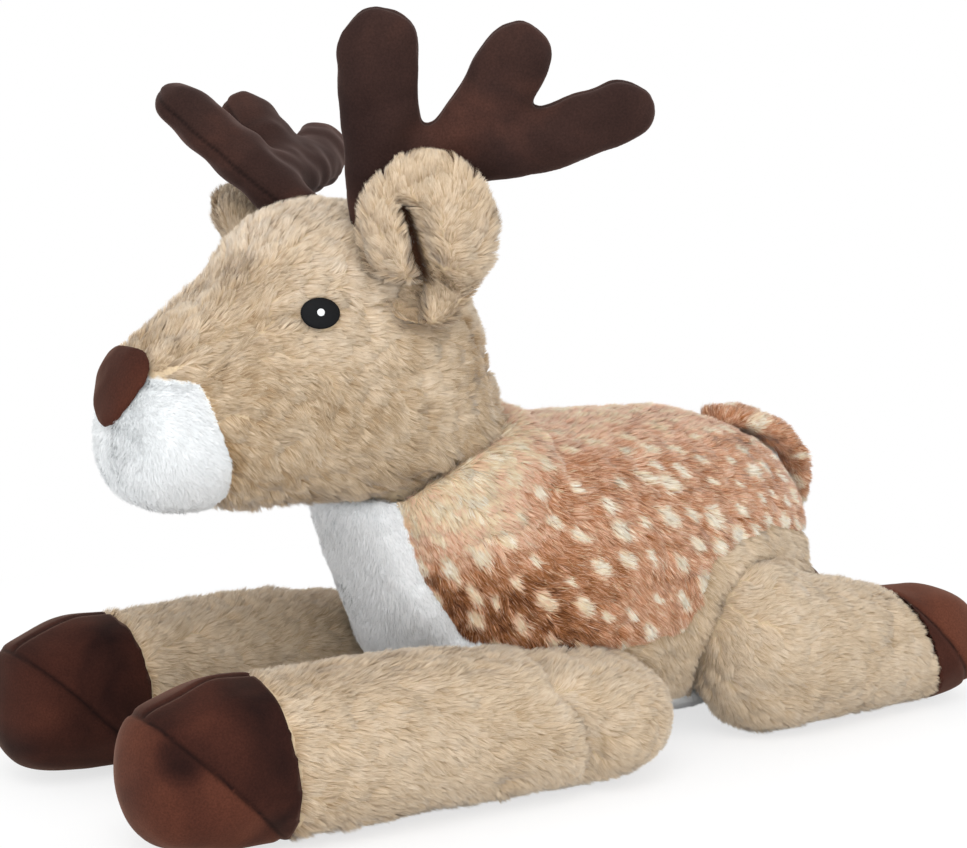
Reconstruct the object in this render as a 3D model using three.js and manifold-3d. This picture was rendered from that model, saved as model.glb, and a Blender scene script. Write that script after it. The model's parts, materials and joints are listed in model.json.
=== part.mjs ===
// A large plush deer lying on its belly, with folded ears, velvet antlers and velvet hooves.
// Millimetres, +Z up. The deer faces -Y, its left side is +X, and it rests on the plane z = 0.
// Each sewn panel is a wall of plush, cut from the outer form less an inner one, round a filling.
import * as THREE from 'three';
import { mergeVertices } from 'three/addons/utils/BufferGeometryUtils.js';
import Module from 'manifold-3d';

const wasm = await Module();
wasm.setup();

// Cloth and seams
const plushWall = 5;
const velvetWall = 3;
const seamGap = 0.3;
const floorPress = 0.5;

// Body: the trunk from the rump to the collar where the head sits
const bodyLength = 450;
const bodyHeight = 247;
const bodyWidth = 236;
const rumpDepth = 50;

// Neck: the round collar seam, and the ball of filling that the head turns on
const neckForward = 107;
const neckRise = 228;
const neckRadius = 77;
const neckPitchDeg = 22.5;
const nodRoomDeg = 4.5;

// Head
const rootRoom = 2.5;
const headLength = 247;
const headHeight = 209;
const headWidth = 182;
const jawDrop = 30;
const muzzleDepth = 26;

// Nose: a stuffed velvet triangle with its point down
const noseWidth = 66;
const noseHeight = 55;
const noseDepth = 56;
const noseEdge = 8;
const noseStand = 3;
const noseRise = 82;
const noseTiltDeg = 24;

// Eyes: a domed black disc with a small pale glint
const eyeForward = 116;
const eyeRise = 140;
const eyeDiameter = 30;
const eyeThickness = 8;
const eyeStand = 3;
const glintDiameter = 6;
const glintStand = 1.2;

// Ears: a thick plush leaf, folded round a narrow slit, on a rolled root
const earHeight = 108;
const earWidth = 100;
const earThickness = 52;
const earTipDepth = 16;
const earSlitWidth = 30;
const earSlitHeight = 68;
const earSlitRise = 22;
const earRootRadius = 17;
const earRootLength = 56;
const earForward = 44;
const earRise = 140;
const earLift = 5;
const earYawDeg = 35;

// Antlers: flat stuffed velvet, a stem with a front tine and a beam with two more
const antlerHeight = 150;
const antlerReach = 190;
const antlerThickness = 36;
const stemWidth = 46;
const beamWidth = 48;
const middleTineWidth = 52;
const antlerRootRadius = 15;
const antlerRootLength = 40;
const antlerSide = 46;
const antlerForward = 58;
const antlerLift = 6;
const antlerYawDeg = 35;

// Forelegs, each on a round shoulder, with a hoof at the end
const forelegLength = 355;
const forelegHeight = 115;
const forelegWidth = 116;
const shoulderRadius = 62;
const shoulderHeight = 92;
const shoulderSide = 121;
const shoulderForward = 32;
const foreHoofLength = 102;
const foreHoofDepth = 23;
const foreSeamLean = -0.11;
const foreSoleLean = -0.95;

// Hind legs, each on a round haunch
const hindLegLength = 222;
const hindLegHeight = 104;
const hindLegWidth = 108;
const hipRadius = 56;
const hipHeight = 136;
const hipSide = 102;
const hipBack = 143;
const hindHoofLength = 54;
const hindHoofDepth = 18;
const hindSoleLength = 8;
const hindSeamLean = 0.42;
const hindSoleLean = 0.88;

// Tail: a short leaf that lies on the rump
const tailLength = 100;
const tailWidth = 80;
const tailTipDepth = 12;
const tailRootRadius = 13;
const tailRootLength = 44;
const tailBack = 190;
const tailLift = 2;

// How the soft parts of this deer happen to lie, in degrees from upright or straight
const earOutLeanDeg = { left: 16, right: 44 };
const earBackLeanDeg = { left: 4, right: 34 };
const antlerLeanDeg = { left: 14, right: 52 };
const foreYawDeg = { left: -3, right: 3 };
const hindYawDeg = { left: 0, right: -10 };

// Rings along a form and points round it, and coarser counts for what is hidden inside
const bodyFacets = { rings: 12, points: 18, dome: 3 };
const headFacets = { rings: 13, points: 16, dome: 3 };
const limbFacets = { rings: 7, points: 10, dome: 3 };
const leafFacets = { rings: 6, points: 10, dome: 2 };
const tineFacets = { rings: 4, points: 8, dome: 2 };
const bodyCore = { rings: 8, points: 10, dome: 1 };
const limbCore = { rings: 5, points: 8, dome: 1 };
const smallCore = { rings: 3, points: 6, dome: 1 };
const ballFacets = { across: 20, along: 6 };
const neckFacets = { across: 28, along: 6 };
const ballCore = { across: 8, along: 4 };
const spindleFacets = { turns: 12, steps: 4 };
const lensTurns = 14;

// How full a plush section is: 2 is an ellipse, more is squarer
const sectionPower = 2.25;
const spindlePower = 0.7;

// Far enough to pass right through the deer, and where the collar's wedge starts inside the neck
const throughAll = 2 * (bodyLength + headLength + forelegLength);
const neckRoomShare = neckRadius / throughAll;

// Stations of the trunk: back line and belly line as shares of its length and height, half width
const trunkShares = [
  [0.436, 0.9, 0.436, 0.05, 0.78],
  [0.328, 0.975, 0.328, 0, 0.93],
  [0.178, 1, 0.178, 0, 1],
  [0.022, 1.002, -0.04, 0, 1],
  [-0.024, 1.012, -0.145, 0.02, 0.95],
  [-0.046, 1.024, -0.249, 0.197, 0.85],
  [-0.064, 1.036, -0.333, 0.484, 0.74],
];

// Stations of the head: the brow line and the jaw line, forward of the neck and above the jaw
const headShares = [
  [-0.215, 0.41, 0.335, 0.012, 0.88],
  [-0.175, 0.61, 0.376, 0.015, 0.945],
  [-0.07, 0.829, 0.408, 0.015, 0.99],
  [0.1, 0.965, 0.445, 0.012, 0.985],
  [0.305, 1, 0.49, 0.01, 0.925],
  [0.487, 0.955, 0.55, 0.01, 0.825],
  [0.645, 0.78, 0.635, 0.01, 0.725],
  [0.765, 0.67, 0.765, 0.015, 0.65],
  [0.83, 0.6, 0.885, 0.04, 0.57],
];

// Seams of the trunk, seen from the side: shares of its length and height
const saddleCornerShares = [-0.242, 0.418];
const bibEdgeShares = [
  [-0.37, 1.2],
  [-0.349, 0.89],
  [-0.324, 0.725],
  [-0.3, 0.588],
  saddleCornerShares,
];
const bibFootShares = [saddleCornerShares, [-0.06, 0.34], [-0.06, 0.118], [-0.06, -0.2]];
const saddleEdgeShares = [
  saddleCornerShares,
  [-0.129, 0.381],
  [0.031, 0.354],
  [0.14, 0.374],
  [0.175, 0.463],
  [0.189, 0.577],
  [0.256, 0.62],
  [0.36, 0.648],
  [0.456, 0.6],
  [0.7, 0.52],
];
const bellyEdgeShares = [
  [-0.06, 0.118],
  [0.25, 0.118],
  [0.43, 0.16],
  [0.7, 0.22],
];

// Seams of the head, seen from the side: forward of the neck and above the jaw
const noseCornerShares = [0.9, 0.487];
const gussetEdgeShares = [
  [1.3, 0.47],
  noseCornerShares,
  [0.794, 0.565],
  [0.66, 0.641],
  [0.461, 0.67],
  [0.255, 0.703],
  [0.06, 0.68],
  [-0.09, 0.5],
  [-0.2, 0.3],
  [-0.33, 0.12],
];
const muzzleEdgeShares = [
  noseCornerShares,
  [0.794, 0.472],
  [0.753, 0.333],
  [0.704, 0.186],
  [0.64, -0.1],
];

// Stations of a limb from its ball to the hoof's tip: along, upper line, lower line, half width
const forelegShares = [
  [0, 0.78, 0, 1.03],
  [0.14, 0.86, 0, 1.02],
  [0.3, 0.96, 0, 1.01],
  [0.46, 1, 0, 1],
  [0.64, 0.975, 0, 0.97],
  [0.74, 0.975, 0, 0.965],
  [0.845, 1, 0, 1],
  [0.937, 0.89, 0.06, 0.87],
];
const hindLegShares = [
  [0, 1.12, 0, 1],
  [0.24, 1.12, 0, 1.02],
  [0.48, 1, 0, 0.97],
  [0.68, 0.92, 0, 0.9],
  [0.83, 0.91, 0, 0.9],
  [0.927, 0.82, 0.05, 0.78],
];

// Stations of an ear and of its slit: height, half width, half thickness
const earShares = [
  [0, 0.5, 0.62],
  [0.14, 0.72, 0.86],
  [0.36, 0.96, 1],
  [0.6, 1, 0.94],
  [0.76, 0.86, 0.8],
  [0.87, 0.62, 0.6],
];
const earSlitShares = [
  [0, 0.5, 1],
  [0.3, 0.85, 1],
  [0.65, 1, 1],
  [0.9, 0.75, 1],
];

// Middle lines of the antler: back, up, and the width there; shares of its reach, height and width
const stemShares = [
  [0, -0.02, 0.72],
  [0, 0.14, 0.92],
  [0.025, 0.34, 1.16],
  [0.028, 0.56, 1.28],
  [0.028, 0.78, 1.3],
];
const beamShares = [
  [0.05, 0.24, 0.9],
  [0.24, 0.3, 1],
  [0.48, 0.32, 0.98],
  [0.68, 0.4, 0.98],
  [0.88, 0.5, 1],
];
const middleTineShares = [
  [0.28, 0.32, 0.84],
  [0.39, 0.5, 0.94],
  [0.51, 0.74, 1],
];

// Stations of the tail: outer line and inner line, back and up from its root, half width
const tailShares = [
  [0.02, 0.1, 0, -0.1, 0.5],
  [0.3, 0.1, 0.18, -0.18, 0.85],
  [0.62, -0.08, 0.42, -0.3, 1],
  [0.8, -0.38, 0.56, -0.5, 0.94],
  [0.86, -0.66, 0.64, -0.72, 0.68],
];

// Outline of a low dome from its rim to its crown: across and up
const domeShares = [
  [1, 0],
  [0.92, 0.5],
  [0.7, 0.84],
  [0, 1],
];

const colours = {
  tan: 0xcdac8a,
  spotted: 0xbe8264,
  white: 0xebf0f0,
  velvet: 0x5f3226,
  antler: 0x56332b,
  black: 0x141414,
  filling: 0xf4f2ec,
};

const deg = THREE.MathUtils.degToRad;
const pointOf = (x, y, z) => new THREE.Vector3(x, y, z);

// A closed geometry as a solid that can be joined and cut.
function solid(geometry) {
  const bare = new THREE.BufferGeometry();
  const flat = geometry.index ? geometry.toNonIndexed() : geometry;
  bare.setAttribute('position', flat.getAttribute('position'));
  const merged = mergeVertices(bare, 1e-4);
  return new wasm.Manifold(
    new wasm.Mesh({
      numProp: 3,
      vertProperties: new Float32Array(merged.attributes.position.array),
      triVerts: new Uint32Array(merged.index.array),
    }),
  );
}

// A cut solid back as a geometry.
function geometryOf(cut) {
  const mesh = cut.getMesh();
  const geometry = new THREE.BufferGeometry();
  geometry.setAttribute('position', new THREE.BufferAttribute(mesh.vertProperties, 3));
  geometry.setIndex(new THREE.BufferAttribute(mesh.triVerts, 1));
  return geometry;
}

// A solid moved or turned as a whole; a mirrored one has its faces turned round again.
function placed(cut, matrix) {
  const geometry = geometryOf(cut).applyMatrix4(matrix);
  if (matrix.determinant() < 0) {
    const faces = geometry.index.array;
    for (let i = 0; i < faces.length; i += 3) {
      [faces[i + 1], faces[i + 2]] = [faces[i + 2], faces[i + 1]];
    }
  }
  return solid(geometry);
}

// Rings of points joined into one closed skin, with a pole at each end.
function skinOver(rings, startPole, endPole) {
  const points = rings.flat();
  const around = rings[0].length;
  const faces = [];
  for (let i = 0; i + 1 < rings.length; i++) {
    for (let k = 0; k < around; k++) {
      const a = i * around + k;
      const b = i * around + ((k + 1) % around);
      faces.push(a, b, b + around, a, b + around, a + around);
    }
  }
  const start = points.push(startPole) - 1;
  const end = points.push(endPole) - 1;
  const last = (rings.length - 1) * around;
  for (let k = 0; k < around; k++) {
    const next = (k + 1) % around;
    faces.push(start, next, k);
    faces.push(end, last + k, last + next);
  }
  const geometry = new THREE.BufferGeometry().setFromPoints(points);
  geometry.setIndex(faces);
  return geometry;
}

// A plush form through stations. Each station is an upper point and a lower point in the side
// view and a half width; the form swells between them along smooth curves. A dome closes an end
// where its depth is given, and grow moves the whole skin outwards or inwards.
function form({ stations, facets, domes, grow = 0 }) {
  const upper = new THREE.CatmullRomCurve3(stations.map((s) => pointOf(s.wide, ...s.upper)));
  const lower = new THREE.CatmullRomCurve3(stations.map((s) => pointOf(0, ...s.lower)));
  const frameAt = (share) => {
    const top = upper.getPoint(share);
    const low = lower.getPoint(share);
    const wide = top.x;
    top.x = 0;
    const rise = top.clone().sub(low);
    const high = rise.length() / 2;
    rise.normalize();
    const forward = pointOf(0, -rise.z, rise.y);
    return { centre: top.add(low).multiplyScalar(0.5), wide, high, rise, forward };
  };
  const fuller = (v) => Math.sign(v) * Math.abs(v) ** (2 / sectionPower);
  const ringAt = (frame, shift, scale) => {
    const ring = [];
    for (let k = 0; k < facets.points; k++) {
      const angle = (2 * Math.PI * (k + 0.5)) / facets.points;
      const side = fuller(Math.cos(angle)) * (frame.wide + grow) * scale;
      const up = fuller(Math.sin(angle)) * (frame.high + grow) * scale;
      const point = frame.centre.clone().addScaledVector(frame.rise, up);
      ring.push(point.addScaledVector(frame.forward, shift).add(pointOf(side, 0, 0)));
    }
    return ring;
  };
  const ends = [frameAt(0), frameAt(1)];
  const depths = domes.map((depth) => depth + grow);
  const domeAt = (end, i) => {
    const angle = ((Math.PI / 2) * i) / (facets.dome + 1);
    const shift = depths[end] * Math.sin(angle) * (end ? 1 : -1);
    return ringAt(ends[end], shift, Math.cos(angle));
  };
  const rings = [];
  for (let i = domes[0] ? facets.dome : 0; i > 0; i--) rings.push(domeAt(0, i));
  for (let i = 0; i < facets.rings; i++) {
    const share = i / (facets.rings - 1);
    const flatEnd = (share === 0 && !domes[0]) || (share === 1 && !domes[1]);
    rings.push(ringAt(frameAt(share), flatEnd ? grow * (share ? 1 : -1) : 0, 1));
  }
  for (let i = 1; i <= (domes[1] ? facets.dome : 0); i++) rings.push(domeAt(1, i));
  const poles = ends.map((frame, end) =>
    frame.centre.clone().addScaledVector(frame.forward, depths[end] * (end ? 1 : -1)),
  );
  return skinOver(rings, poles[0], poles[1]);
}

// Stations along a bent middle line in the side view, from its width at each point.
function alongLine(line, halfThickness) {
  return line.map(({ y, z, width }, i) => {
    const ahead = line[Math.min(i + 1, line.length - 1)];
    const behind = line[Math.max(i - 1, 0)];
    const along = new THREE.Vector2(ahead.y - behind.y, ahead.z - behind.z).normalize();
    const across = new THREE.Vector2(along.y, -along.x).multiplyScalar(width / 2);
    return {
      upper: [y + across.x, z + across.y],
      lower: [y - across.x, z - across.y],
      wide: halfThickness,
    };
  });
}

// An outline in the side view, (y, z), run right through from side to side.
function sideBlock(points) {
  const shape = new THREE.Shape(points.map(([y, z]) => new THREE.Vector2(y, z)));
  const geometry = new THREE.ExtrudeGeometry(shape, { depth: throughAll, bevelEnabled: false });
  geometry.translate(0, 0, -throughAll / 2);
  const turn = new THREE.Matrix4().makeBasis(pointOf(0, 1, 0), pointOf(0, 0, 1), pointOf(1, 0, 0));
  return solid(geometry.applyMatrix4(turn));
}

// A seam line in the side view as a thin slot, so that the panels on its two sides lie apart.
function seamSlot(points) {
  const line = points.map(([y, z]) => new THREE.Vector2(y, z));
  const sides = [1, -1].map((sign) =>
    line.map((point, i) => {
      const ahead = line[Math.min(i + 1, line.length - 1)];
      const behind = line[Math.max(i - 1, 0)];
      const along = ahead.clone().sub(behind).normalize();
      const reach = (sign * seamGap) / 2;
      return [point.x - along.y * reach, point.y + along.x * reach];
    }),
  );
  return sideBlock([...sides[0], ...sides[1].reverse()]);
}

// A box by its lowest and highest corners.
function block(low, high) {
  const size = pointOf(...high).sub(pointOf(...low));
  const geometry = new THREE.BoxGeometry(size.x, size.y, size.z);
  geometry.translate(low[0] + size.x / 2, low[1] + size.y / 2, low[2] + size.z / 2);
  return solid(geometry);
}

// A ball of filling that turns about the Y axis, as long as given along it.
function ball(radius, length, facets) {
  const geometry = new THREE.SphereGeometry(radius, facets.across, facets.along);
  geometry.scale(1, length / (2 * radius), 1);
  return solid(geometry);
}

// The radius of a socket whose flats stay clear of the corners of what turns in it.
const socketRadius = (radius, turns) => (radius + seamGap) / Math.cos(Math.PI / turns);

// A root that turns about the Y axis, fat in the middle and tapered to its ends.
function spindle(radius, length) {
  const { turns, steps } = spindleFacets;
  const profile = [];
  for (let i = 0; i <= steps; i++) {
    const angle = Math.PI * (i / steps - 0.5);
    const closed = i === 0 || i === steps;
    const r = closed ? 0 : radius * Math.cos(angle) ** spindlePower;
    profile.push(new THREE.Vector2(r, (length / 2) * Math.sin(angle)));
  }
  return solid(new THREE.LatheGeometry(profile, turns));
}
const spindleRoom = (radius, length) =>
  spindle(socketRadius(radius, spindleFacets.turns), length + 2 * seamGap);

const far = throughAll / 2;
const underFloor = block([-far, -far, -far], [far, far, 0]);
const centreSlot = block([-seamGap / 2, -far, -far], [seamGap / 2, far, far]);
const leftSide = block([0, -far, -far], [far, far, far]);
const mirror = new THREE.Matrix4().makeScale(-1, 1, 1);

const deer = new THREE.Group();

// One named piece, kept above the floor that the deer lies on.
function piece(group, name, cut, colour, roughness = 0.95) {
  const material = new THREE.MeshStandardMaterial({ color: colour, roughness, metalness: 0 });
  const mesh = new THREE.Mesh(geometryOf(cut), material);
  mesh.name = name;
  group.add(mesh);
}

// Left and right halves of a wall, parted by a seam down the middle.
function pieceEachSide(group, name, cut, colour) {
  const parted = cut.subtract(centreSlot);
  piece(group, `${name}_left`, parted.intersect(leftSide), colour);
  piece(group, `${name}_right`, parted.subtract(leftSide), colour);
}

// Collar: a circle, tipped so that it faces forward and up
const neckCentre = [0, -neckForward, neckRise];
const neckPitch = deg(neckPitchDeg);
const neckAlong = [neckRadius * Math.cos(neckPitch), neckRadius * Math.sin(neckPitch)];
const collarStation = {
  upper: [neckAlong[0] - neckForward, neckRise + neckAlong[1]],
  lower: [-neckAlong[0] - neckForward, neckRise - neckAlong[1]],
  wide: neckRadius,
};
const collarLine = [-2, 2].map((k) => [k * neckAlong[0] - neckForward, neckRise + k * neckAlong[1]]);
const belowCollar = sideBlock([...collarLine, [collarLine[1][0], -far], [collarLine[0][0], -far]]);
const neckTurn = new THREE.Matrix4()
  .makeTranslation(...neckCentre)
  .multiply(new THREE.Matrix4().makeRotationZ(-Math.PI / 2));
const neckBall = (radius, facets) => placed(ball(radius, 2 * radius, facets), neckTurn);

// A wedge round the collar that is left free on both sides of it, so that the head can nod
const nodRoom = far * Math.tan(deg(nodRoomDeg));
const wedgeShares = [
  [neckRoomShare, -neckRoomShare],
  [1, -1],
  [1, 1],
  [neckRoomShare, neckRoomShare],
  [neckRoomShare, -neckRoomShare],
];
const wedge = wedgeShares.map(([out, up]) => new THREE.Vector2(out * far, up * nodRoom));
const collarTurn = new THREE.Matrix4()
  .makeTranslation(...neckCentre)
  .multiply(new THREE.Matrix4().makeRotationX(neckPitch + Math.PI / 2));
const collarRoom = solid(new THREE.LatheGeometry(wedge, ballFacets.across).applyMatrix4(collarTurn));

// Forms of the trunk and the head
const trunkPoint = ([y, z]) => [y * bodyLength, z * bodyHeight - floorPress];
const trunkStations = trunkShares.map(([backY, backZ, bellyY, bellyZ, wide]) => ({
  upper: trunkPoint([backY, backZ]),
  lower: trunkPoint([bellyY, bellyZ]),
  wide: (wide * bodyWidth) / 2,
}));
trunkStations.push(collarStation);
const trunkForm = (grow, facets = bodyFacets) =>
  form({ stations: trunkStations, facets, domes: [rumpDepth, 0], grow });

const headPoint = ([forward, up]) => [
  -neckForward - forward * headLength,
  neckRise - jawDrop + up * headHeight,
];
const headStations = headShares.map(([browY, browZ, jawY, jawZ, wide]) => ({
  upper: headPoint([browY, browZ]),
  lower: headPoint([jawY, jawZ]),
  wide: (wide * headWidth) / 2,
}));
headStations.unshift(collarStation);
const headForm = (grow, facets = headFacets) =>
  form({ stations: headStations, facets, domes: [0, muzzleDepth], grow });

// Where a line from outside first meets a form
function seatOn(geometry, from, towards) {
  const surface = new THREE.Mesh(geometry, new THREE.MeshBasicMaterial({ side: THREE.DoubleSide }));
  const ray = new THREE.Raycaster(pointOf(...from), pointOf(...towards).normalize());
  const hit = ray.intersectObject(surface)[0];
  return { point: hit.point, normal: hit.face.normal.clone() };
}

// Limbs: a ball of filling in the trunk and a tube that lies on the floor
const limbs = [
  { name: 'foreleg_left', side: 1, front: true, yawDeg: foreYawDeg.left },
  { name: 'foreleg_right', side: -1, front: true, yawDeg: foreYawDeg.right },
  { name: 'hind_leg_left', side: 1, front: false, yawDeg: hindYawDeg.left },
  { name: 'hind_leg_right', side: -1, front: false, yawDeg: hindYawDeg.right },
];
const foreSizes = {
  length: forelegLength,
  height: forelegHeight,
  width: forelegWidth,
  radius: shoulderRadius,
  ballHeight: shoulderHeight,
  ballSide: shoulderSide,
  ballAlong: -shoulderForward,
  hoof: foreHoofLength,
  sole: foreHoofLength,
  dome: foreHoofDepth,
  seamLean: foreSeamLean,
  soleLean: foreSoleLean,
  shares: forelegShares,
  facing: 0,
};
const hindSizes = {
  length: hindLegLength,
  height: hindLegHeight,
  width: hindLegWidth,
  radius: hipRadius,
  ballHeight: hipHeight,
  ballSide: hipSide,
  ballAlong: hipBack,
  hoof: hindHoofLength,
  sole: hindSoleLength,
  dome: hindHoofDepth,
  seamLean: hindSeamLean,
  soleLean: hindSoleLean,
  shares: hindLegShares,
  facing: Math.PI,
};
for (const limb of limbs) {
  Object.assign(limb, limb.front ? foreSizes : hindSizes);
  limb.centre = [limb.side * limb.ballSide, limb.ballAlong, limb.ballHeight / 2 - floorPress];
  const upright = new THREE.Matrix4()
    .makeTranslation(...limb.centre)
    .multiply(new THREE.Matrix4().makeRotationX(Math.PI / 2));
  limb.ball = (radius, grow, facets) =>
    placed(ball(radius, limb.ballHeight + 2 * grow, facets), upright);
  limb.turn = new THREE.Matrix4()
    .makeTranslation(limb.centre[0], limb.centre[1], 0)
    .multiply(new THREE.Matrix4().makeRotationZ(limb.facing + deg(limb.yawDeg)));
  limb.nearHalf = placed(leftSide, limb.turn);
}

// The limb's tube, drawn along -Y from its ball and then turned to where it lies
function limbTube(limb, grow, facets) {
  const stations = limb.shares.map(([along, upper, lower, wide]) => ({
    upper: [-along * limb.length, upper * limb.height - floorPress],
    lower: [-along * limb.length, lower * limb.height - floorPress],
    wide: (wide * limb.width) / 2,
  }));
  const tube = form({ stations, facets, domes: [0, limb.dome], grow });
  return solid(tube.applyMatrix4(limb.turn));
}

// A slanted seam across a limb: the region beyond it, and the slot along it
function limbSeam(limb, fromTip, lean) {
  const line = [-limb.height, 2 * limb.height].map((z) => [fromTip - limb.length + lean * z, z]);
  const region = [...line, [-far, line[1][1]], [-far, line[0][1]]];
  return {
    beyond: placed(sideBlock(region), limb.turn),
    slot: placed(seamSlot(line), limb.turn),
  };
}

const trunkNear = solid(trunkForm(seamGap));
const trunkNearCore = solid(trunkForm(seamGap + plushWall));
for (const limb of limbs) {
  const group = new THREE.Group();
  const outer = limb
    .ball(limb.radius, 0, ballFacets)
    .add(limbTube(limb, 0, limbFacets).subtract(trunkNear))
    .subtract(underFloor);
  const inner = (grow) =>
    limb
      .ball(limb.radius + grow, grow, ballCore)
      .add(limbTube(limb, grow, limbCore).subtract(trunkNearCore))
      .subtract(placed(underFloor, new THREE.Matrix4().makeTranslation(0, 0, -floorPress - grow)));
  const wall = outer.subtract(inner(-plushWall));
  const wrist = limbSeam(limb, limb.hoof, limb.seamLean);
  const sole = limbSeam(limb, limb.sole, limb.soleLean);
  piece(group, `${limb.name}_sleeve`, wall.subtract(wrist.beyond).subtract(wrist.slot), colours.tan);
  const hoof = wall.intersect(wrist.beyond).subtract(wrist.slot);
  const middle = placed(centreSlot, limb.turn);
  const upper = hoof.subtract(sole.beyond).subtract(sole.slot).subtract(middle);
  const halves = [upper.intersect(limb.nearHalf), upper.subtract(limb.nearHalf)];
  if (limb.front !== limb.side > 0) halves.reverse();
  piece(group, `${limb.name}_sole`, hoof.intersect(sole.beyond).subtract(sole.slot), colours.velvet);
  piece(group, `${limb.name}_hoof_outer`, halves[0], colours.velvet);
  piece(group, `${limb.name}_hoof_inner`, halves[1], colours.velvet);
  piece(group, `${limb.name}_filling`, inner(-plushWall - seamGap), colours.filling);
  deer.add(group);
}

// Tail: a leaf on the rump that lifts about a root across the deer
const tailSeat = seatOn(trunkForm(0), [0, tailBack, far], [0, 0, -1]).point;
const tailRoot = [0, tailBack, tailSeat.z + tailLift];
const tailStations = tailShares.map(([outY, outZ, inY, inZ, wide]) => ({
  upper: [tailRoot[1] + inY * tailLength, tailRoot[2] + inZ * tailLength],
  lower: [tailRoot[1] + outY * tailLength, tailRoot[2] + outZ * tailLength],
  wide: (wide * tailWidth) / 2,
}));
const tailForm = (grow, facets) =>
  solid(form({ stations: tailStations, facets, domes: [tailRootRadius / 2, tailTipDepth], grow }));
const tailHinge = new THREE.Matrix4()
  .makeTranslation(...tailRoot)
  .multiply(new THREE.Matrix4().makeRotationZ(-Math.PI / 2));
const tailSpindle = placed(spindle(tailRootRadius, tailRootLength), tailHinge);
const tailOuter = tailForm(0, leafFacets).subtract(trunkNear).add(tailSpindle);
const tailMiddle = tailStations.map(({ upper, lower }) => [
  (upper[0] + lower[0]) / 2,
  (upper[1] + lower[1]) / 2,
]);
const tailTop = [
  [tailRoot[1] - tailLength / 2, tailRoot[2]],
  ...tailMiddle,
  [tailMiddle.at(-1)[0], tailRoot[2] - tailLength],
];
const tailAbove = sideBlock([...tailTop, [far, tailRoot[2] - tailLength], [far, far], [tailTop[0][0], far]]);
const tailInner = (grow) => tailForm(grow, smallCore).subtract(trunkNearCore);
const tailWall = tailOuter.subtract(tailInner(-plushWall)).subtract(seamSlot(tailTop));
const tailGroup = new THREE.Group();
piece(tailGroup, 'tail_top', tailWall.intersect(tailAbove), colours.spotted);
piece(tailGroup, 'tail_underside', tailWall.subtract(tailAbove), colours.white);
piece(tailGroup, 'tail_filling', tailInner(-plushWall - seamGap), colours.filling);
deer.add(tailGroup);

// Trunk: a spotted saddle over a white bib and belly, with tan flanks
const trunkSockets = limbs.map((limb) =>
  limb.ball(socketRadius(limb.radius, ballFacets.across), seamGap, ballFacets),
);
trunkSockets.push(
  collarRoom,
  neckBall(socketRadius(neckRadius, neckFacets.across), neckFacets),
  placed(spindleRoom(tailRootRadius, tailRootLength), tailHinge),
);
const trunkCore = (grow) => solid(trunkForm(grow, bodyCore));
let trunkWall = solid(trunkForm(0)).subtract(trunkCore(-plushWall)).subtract(underFloor);
let trunkFilling = trunkCore(-plushWall - seamGap);
for (const socket of trunkSockets) {
  trunkWall = trunkWall.subtract(socket);
  trunkFilling = trunkFilling.subtract(socket);
}
const trunkLine = (shares) => shares.map(trunkPoint);
const bibLine = [...trunkLine(bibEdgeShares), ...trunkLine(bibFootShares.slice(1))];
const saddleLine = trunkLine(saddleEdgeShares);
const bellyLine = trunkLine(bellyEdgeShares);
for (const line of [bibLine, saddleLine, bellyLine]) trunkWall = trunkWall.subtract(seamSlot(line));
const bibRegion = sideBlock([...bibLine, [-far, bibLine.at(-1)[1]], [-far, bibLine[0][1]]]);
const saddleRegion = sideBlock([
  ...saddleLine,
  [saddleLine.at(-1)[0], far],
  [-far, far],
  [-far, saddleLine[0][1]],
]);
const bellyRegion = sideBlock([...bellyLine, [bellyLine.at(-1)[0], -far], [bellyLine[0][0], -far]]);
const behindBib = trunkWall.subtract(bibRegion);
const trunkGroup = new THREE.Group();
piece(trunkGroup, 'chest_bib', trunkWall.intersect(bibRegion), colours.white);
piece(trunkGroup, 'saddle', behindBib.intersect(saddleRegion), colours.spotted);
piece(trunkGroup, 'belly_panel', behindBib.intersect(bellyRegion), colours.white);
const flanks = behindBib.subtract(saddleRegion).subtract(bellyRegion);
pieceEachSide(trunkGroup, 'flank', flanks, colours.tan);
piece(trunkGroup, 'body_filling', trunkFilling, colours.filling);
deer.add(trunkGroup);

// Ears and antlers are drawn upright at their roots, with Y back along the leaf or the beam
function rootPlace(seat, lift, yawDegrees, outLeanDeg, backLeanDeg) {
  const root = seat.point.clone().addScaledVector(seat.normal, lift);
  return new THREE.Matrix4()
    .makeTranslation(root.x, root.y, root.z)
    .multiply(new THREE.Matrix4().makeRotationZ(-deg(yawDegrees)))
    .multiply(new THREE.Matrix4().makeRotationX(-deg(backLeanDeg)))
    .multiply(new THREE.Matrix4().makeRotationY(deg(outLeanDeg)));
}
const earSeat = seatOn(
  headForm(0),
  [far, -neckForward - earForward, neckRise - jawDrop + earRise],
  [-1, 0, 0],
);
const antlerSeat = seatOn(headForm(0), [antlerSide, -neckForward - antlerForward, far], [0, 0, -1]);
const headNear = solid(headForm(seamGap));
const headRoom = solid(headForm(rootRoom));
const headNearCore = solid(headForm(seamGap + plushWall));
const headSockets = [];

function leafStations(shares, height, width, thickness, rise = 0) {
  return shares.map(([up, wide, thick]) => ({
    upper: [(wide * width) / 2, rise + up * height],
    lower: [(-wide * width) / 2, rise + up * height],
    wide: (thick * thickness) / 2,
  }));
}
const earStations = leafStations(earShares, earHeight, earWidth, earThickness);
const slitStations = leafStations(
  earSlitShares,
  earSlitHeight,
  earSlitWidth,
  earThickness,
  earSlitRise,
);
const slitShift = new THREE.Matrix4().makeTranslation(earThickness / 2, 0, 0);
const earSlit = (grow) =>
  placed(solid(form({ stations: slitStations, facets: tineFacets, domes: [0, 0], grow })), slitShift);
const earLeaf = (grow, facets) =>
  solid(form({ stations: earStations, facets, domes: [0, earTipDepth], grow }));

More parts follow.
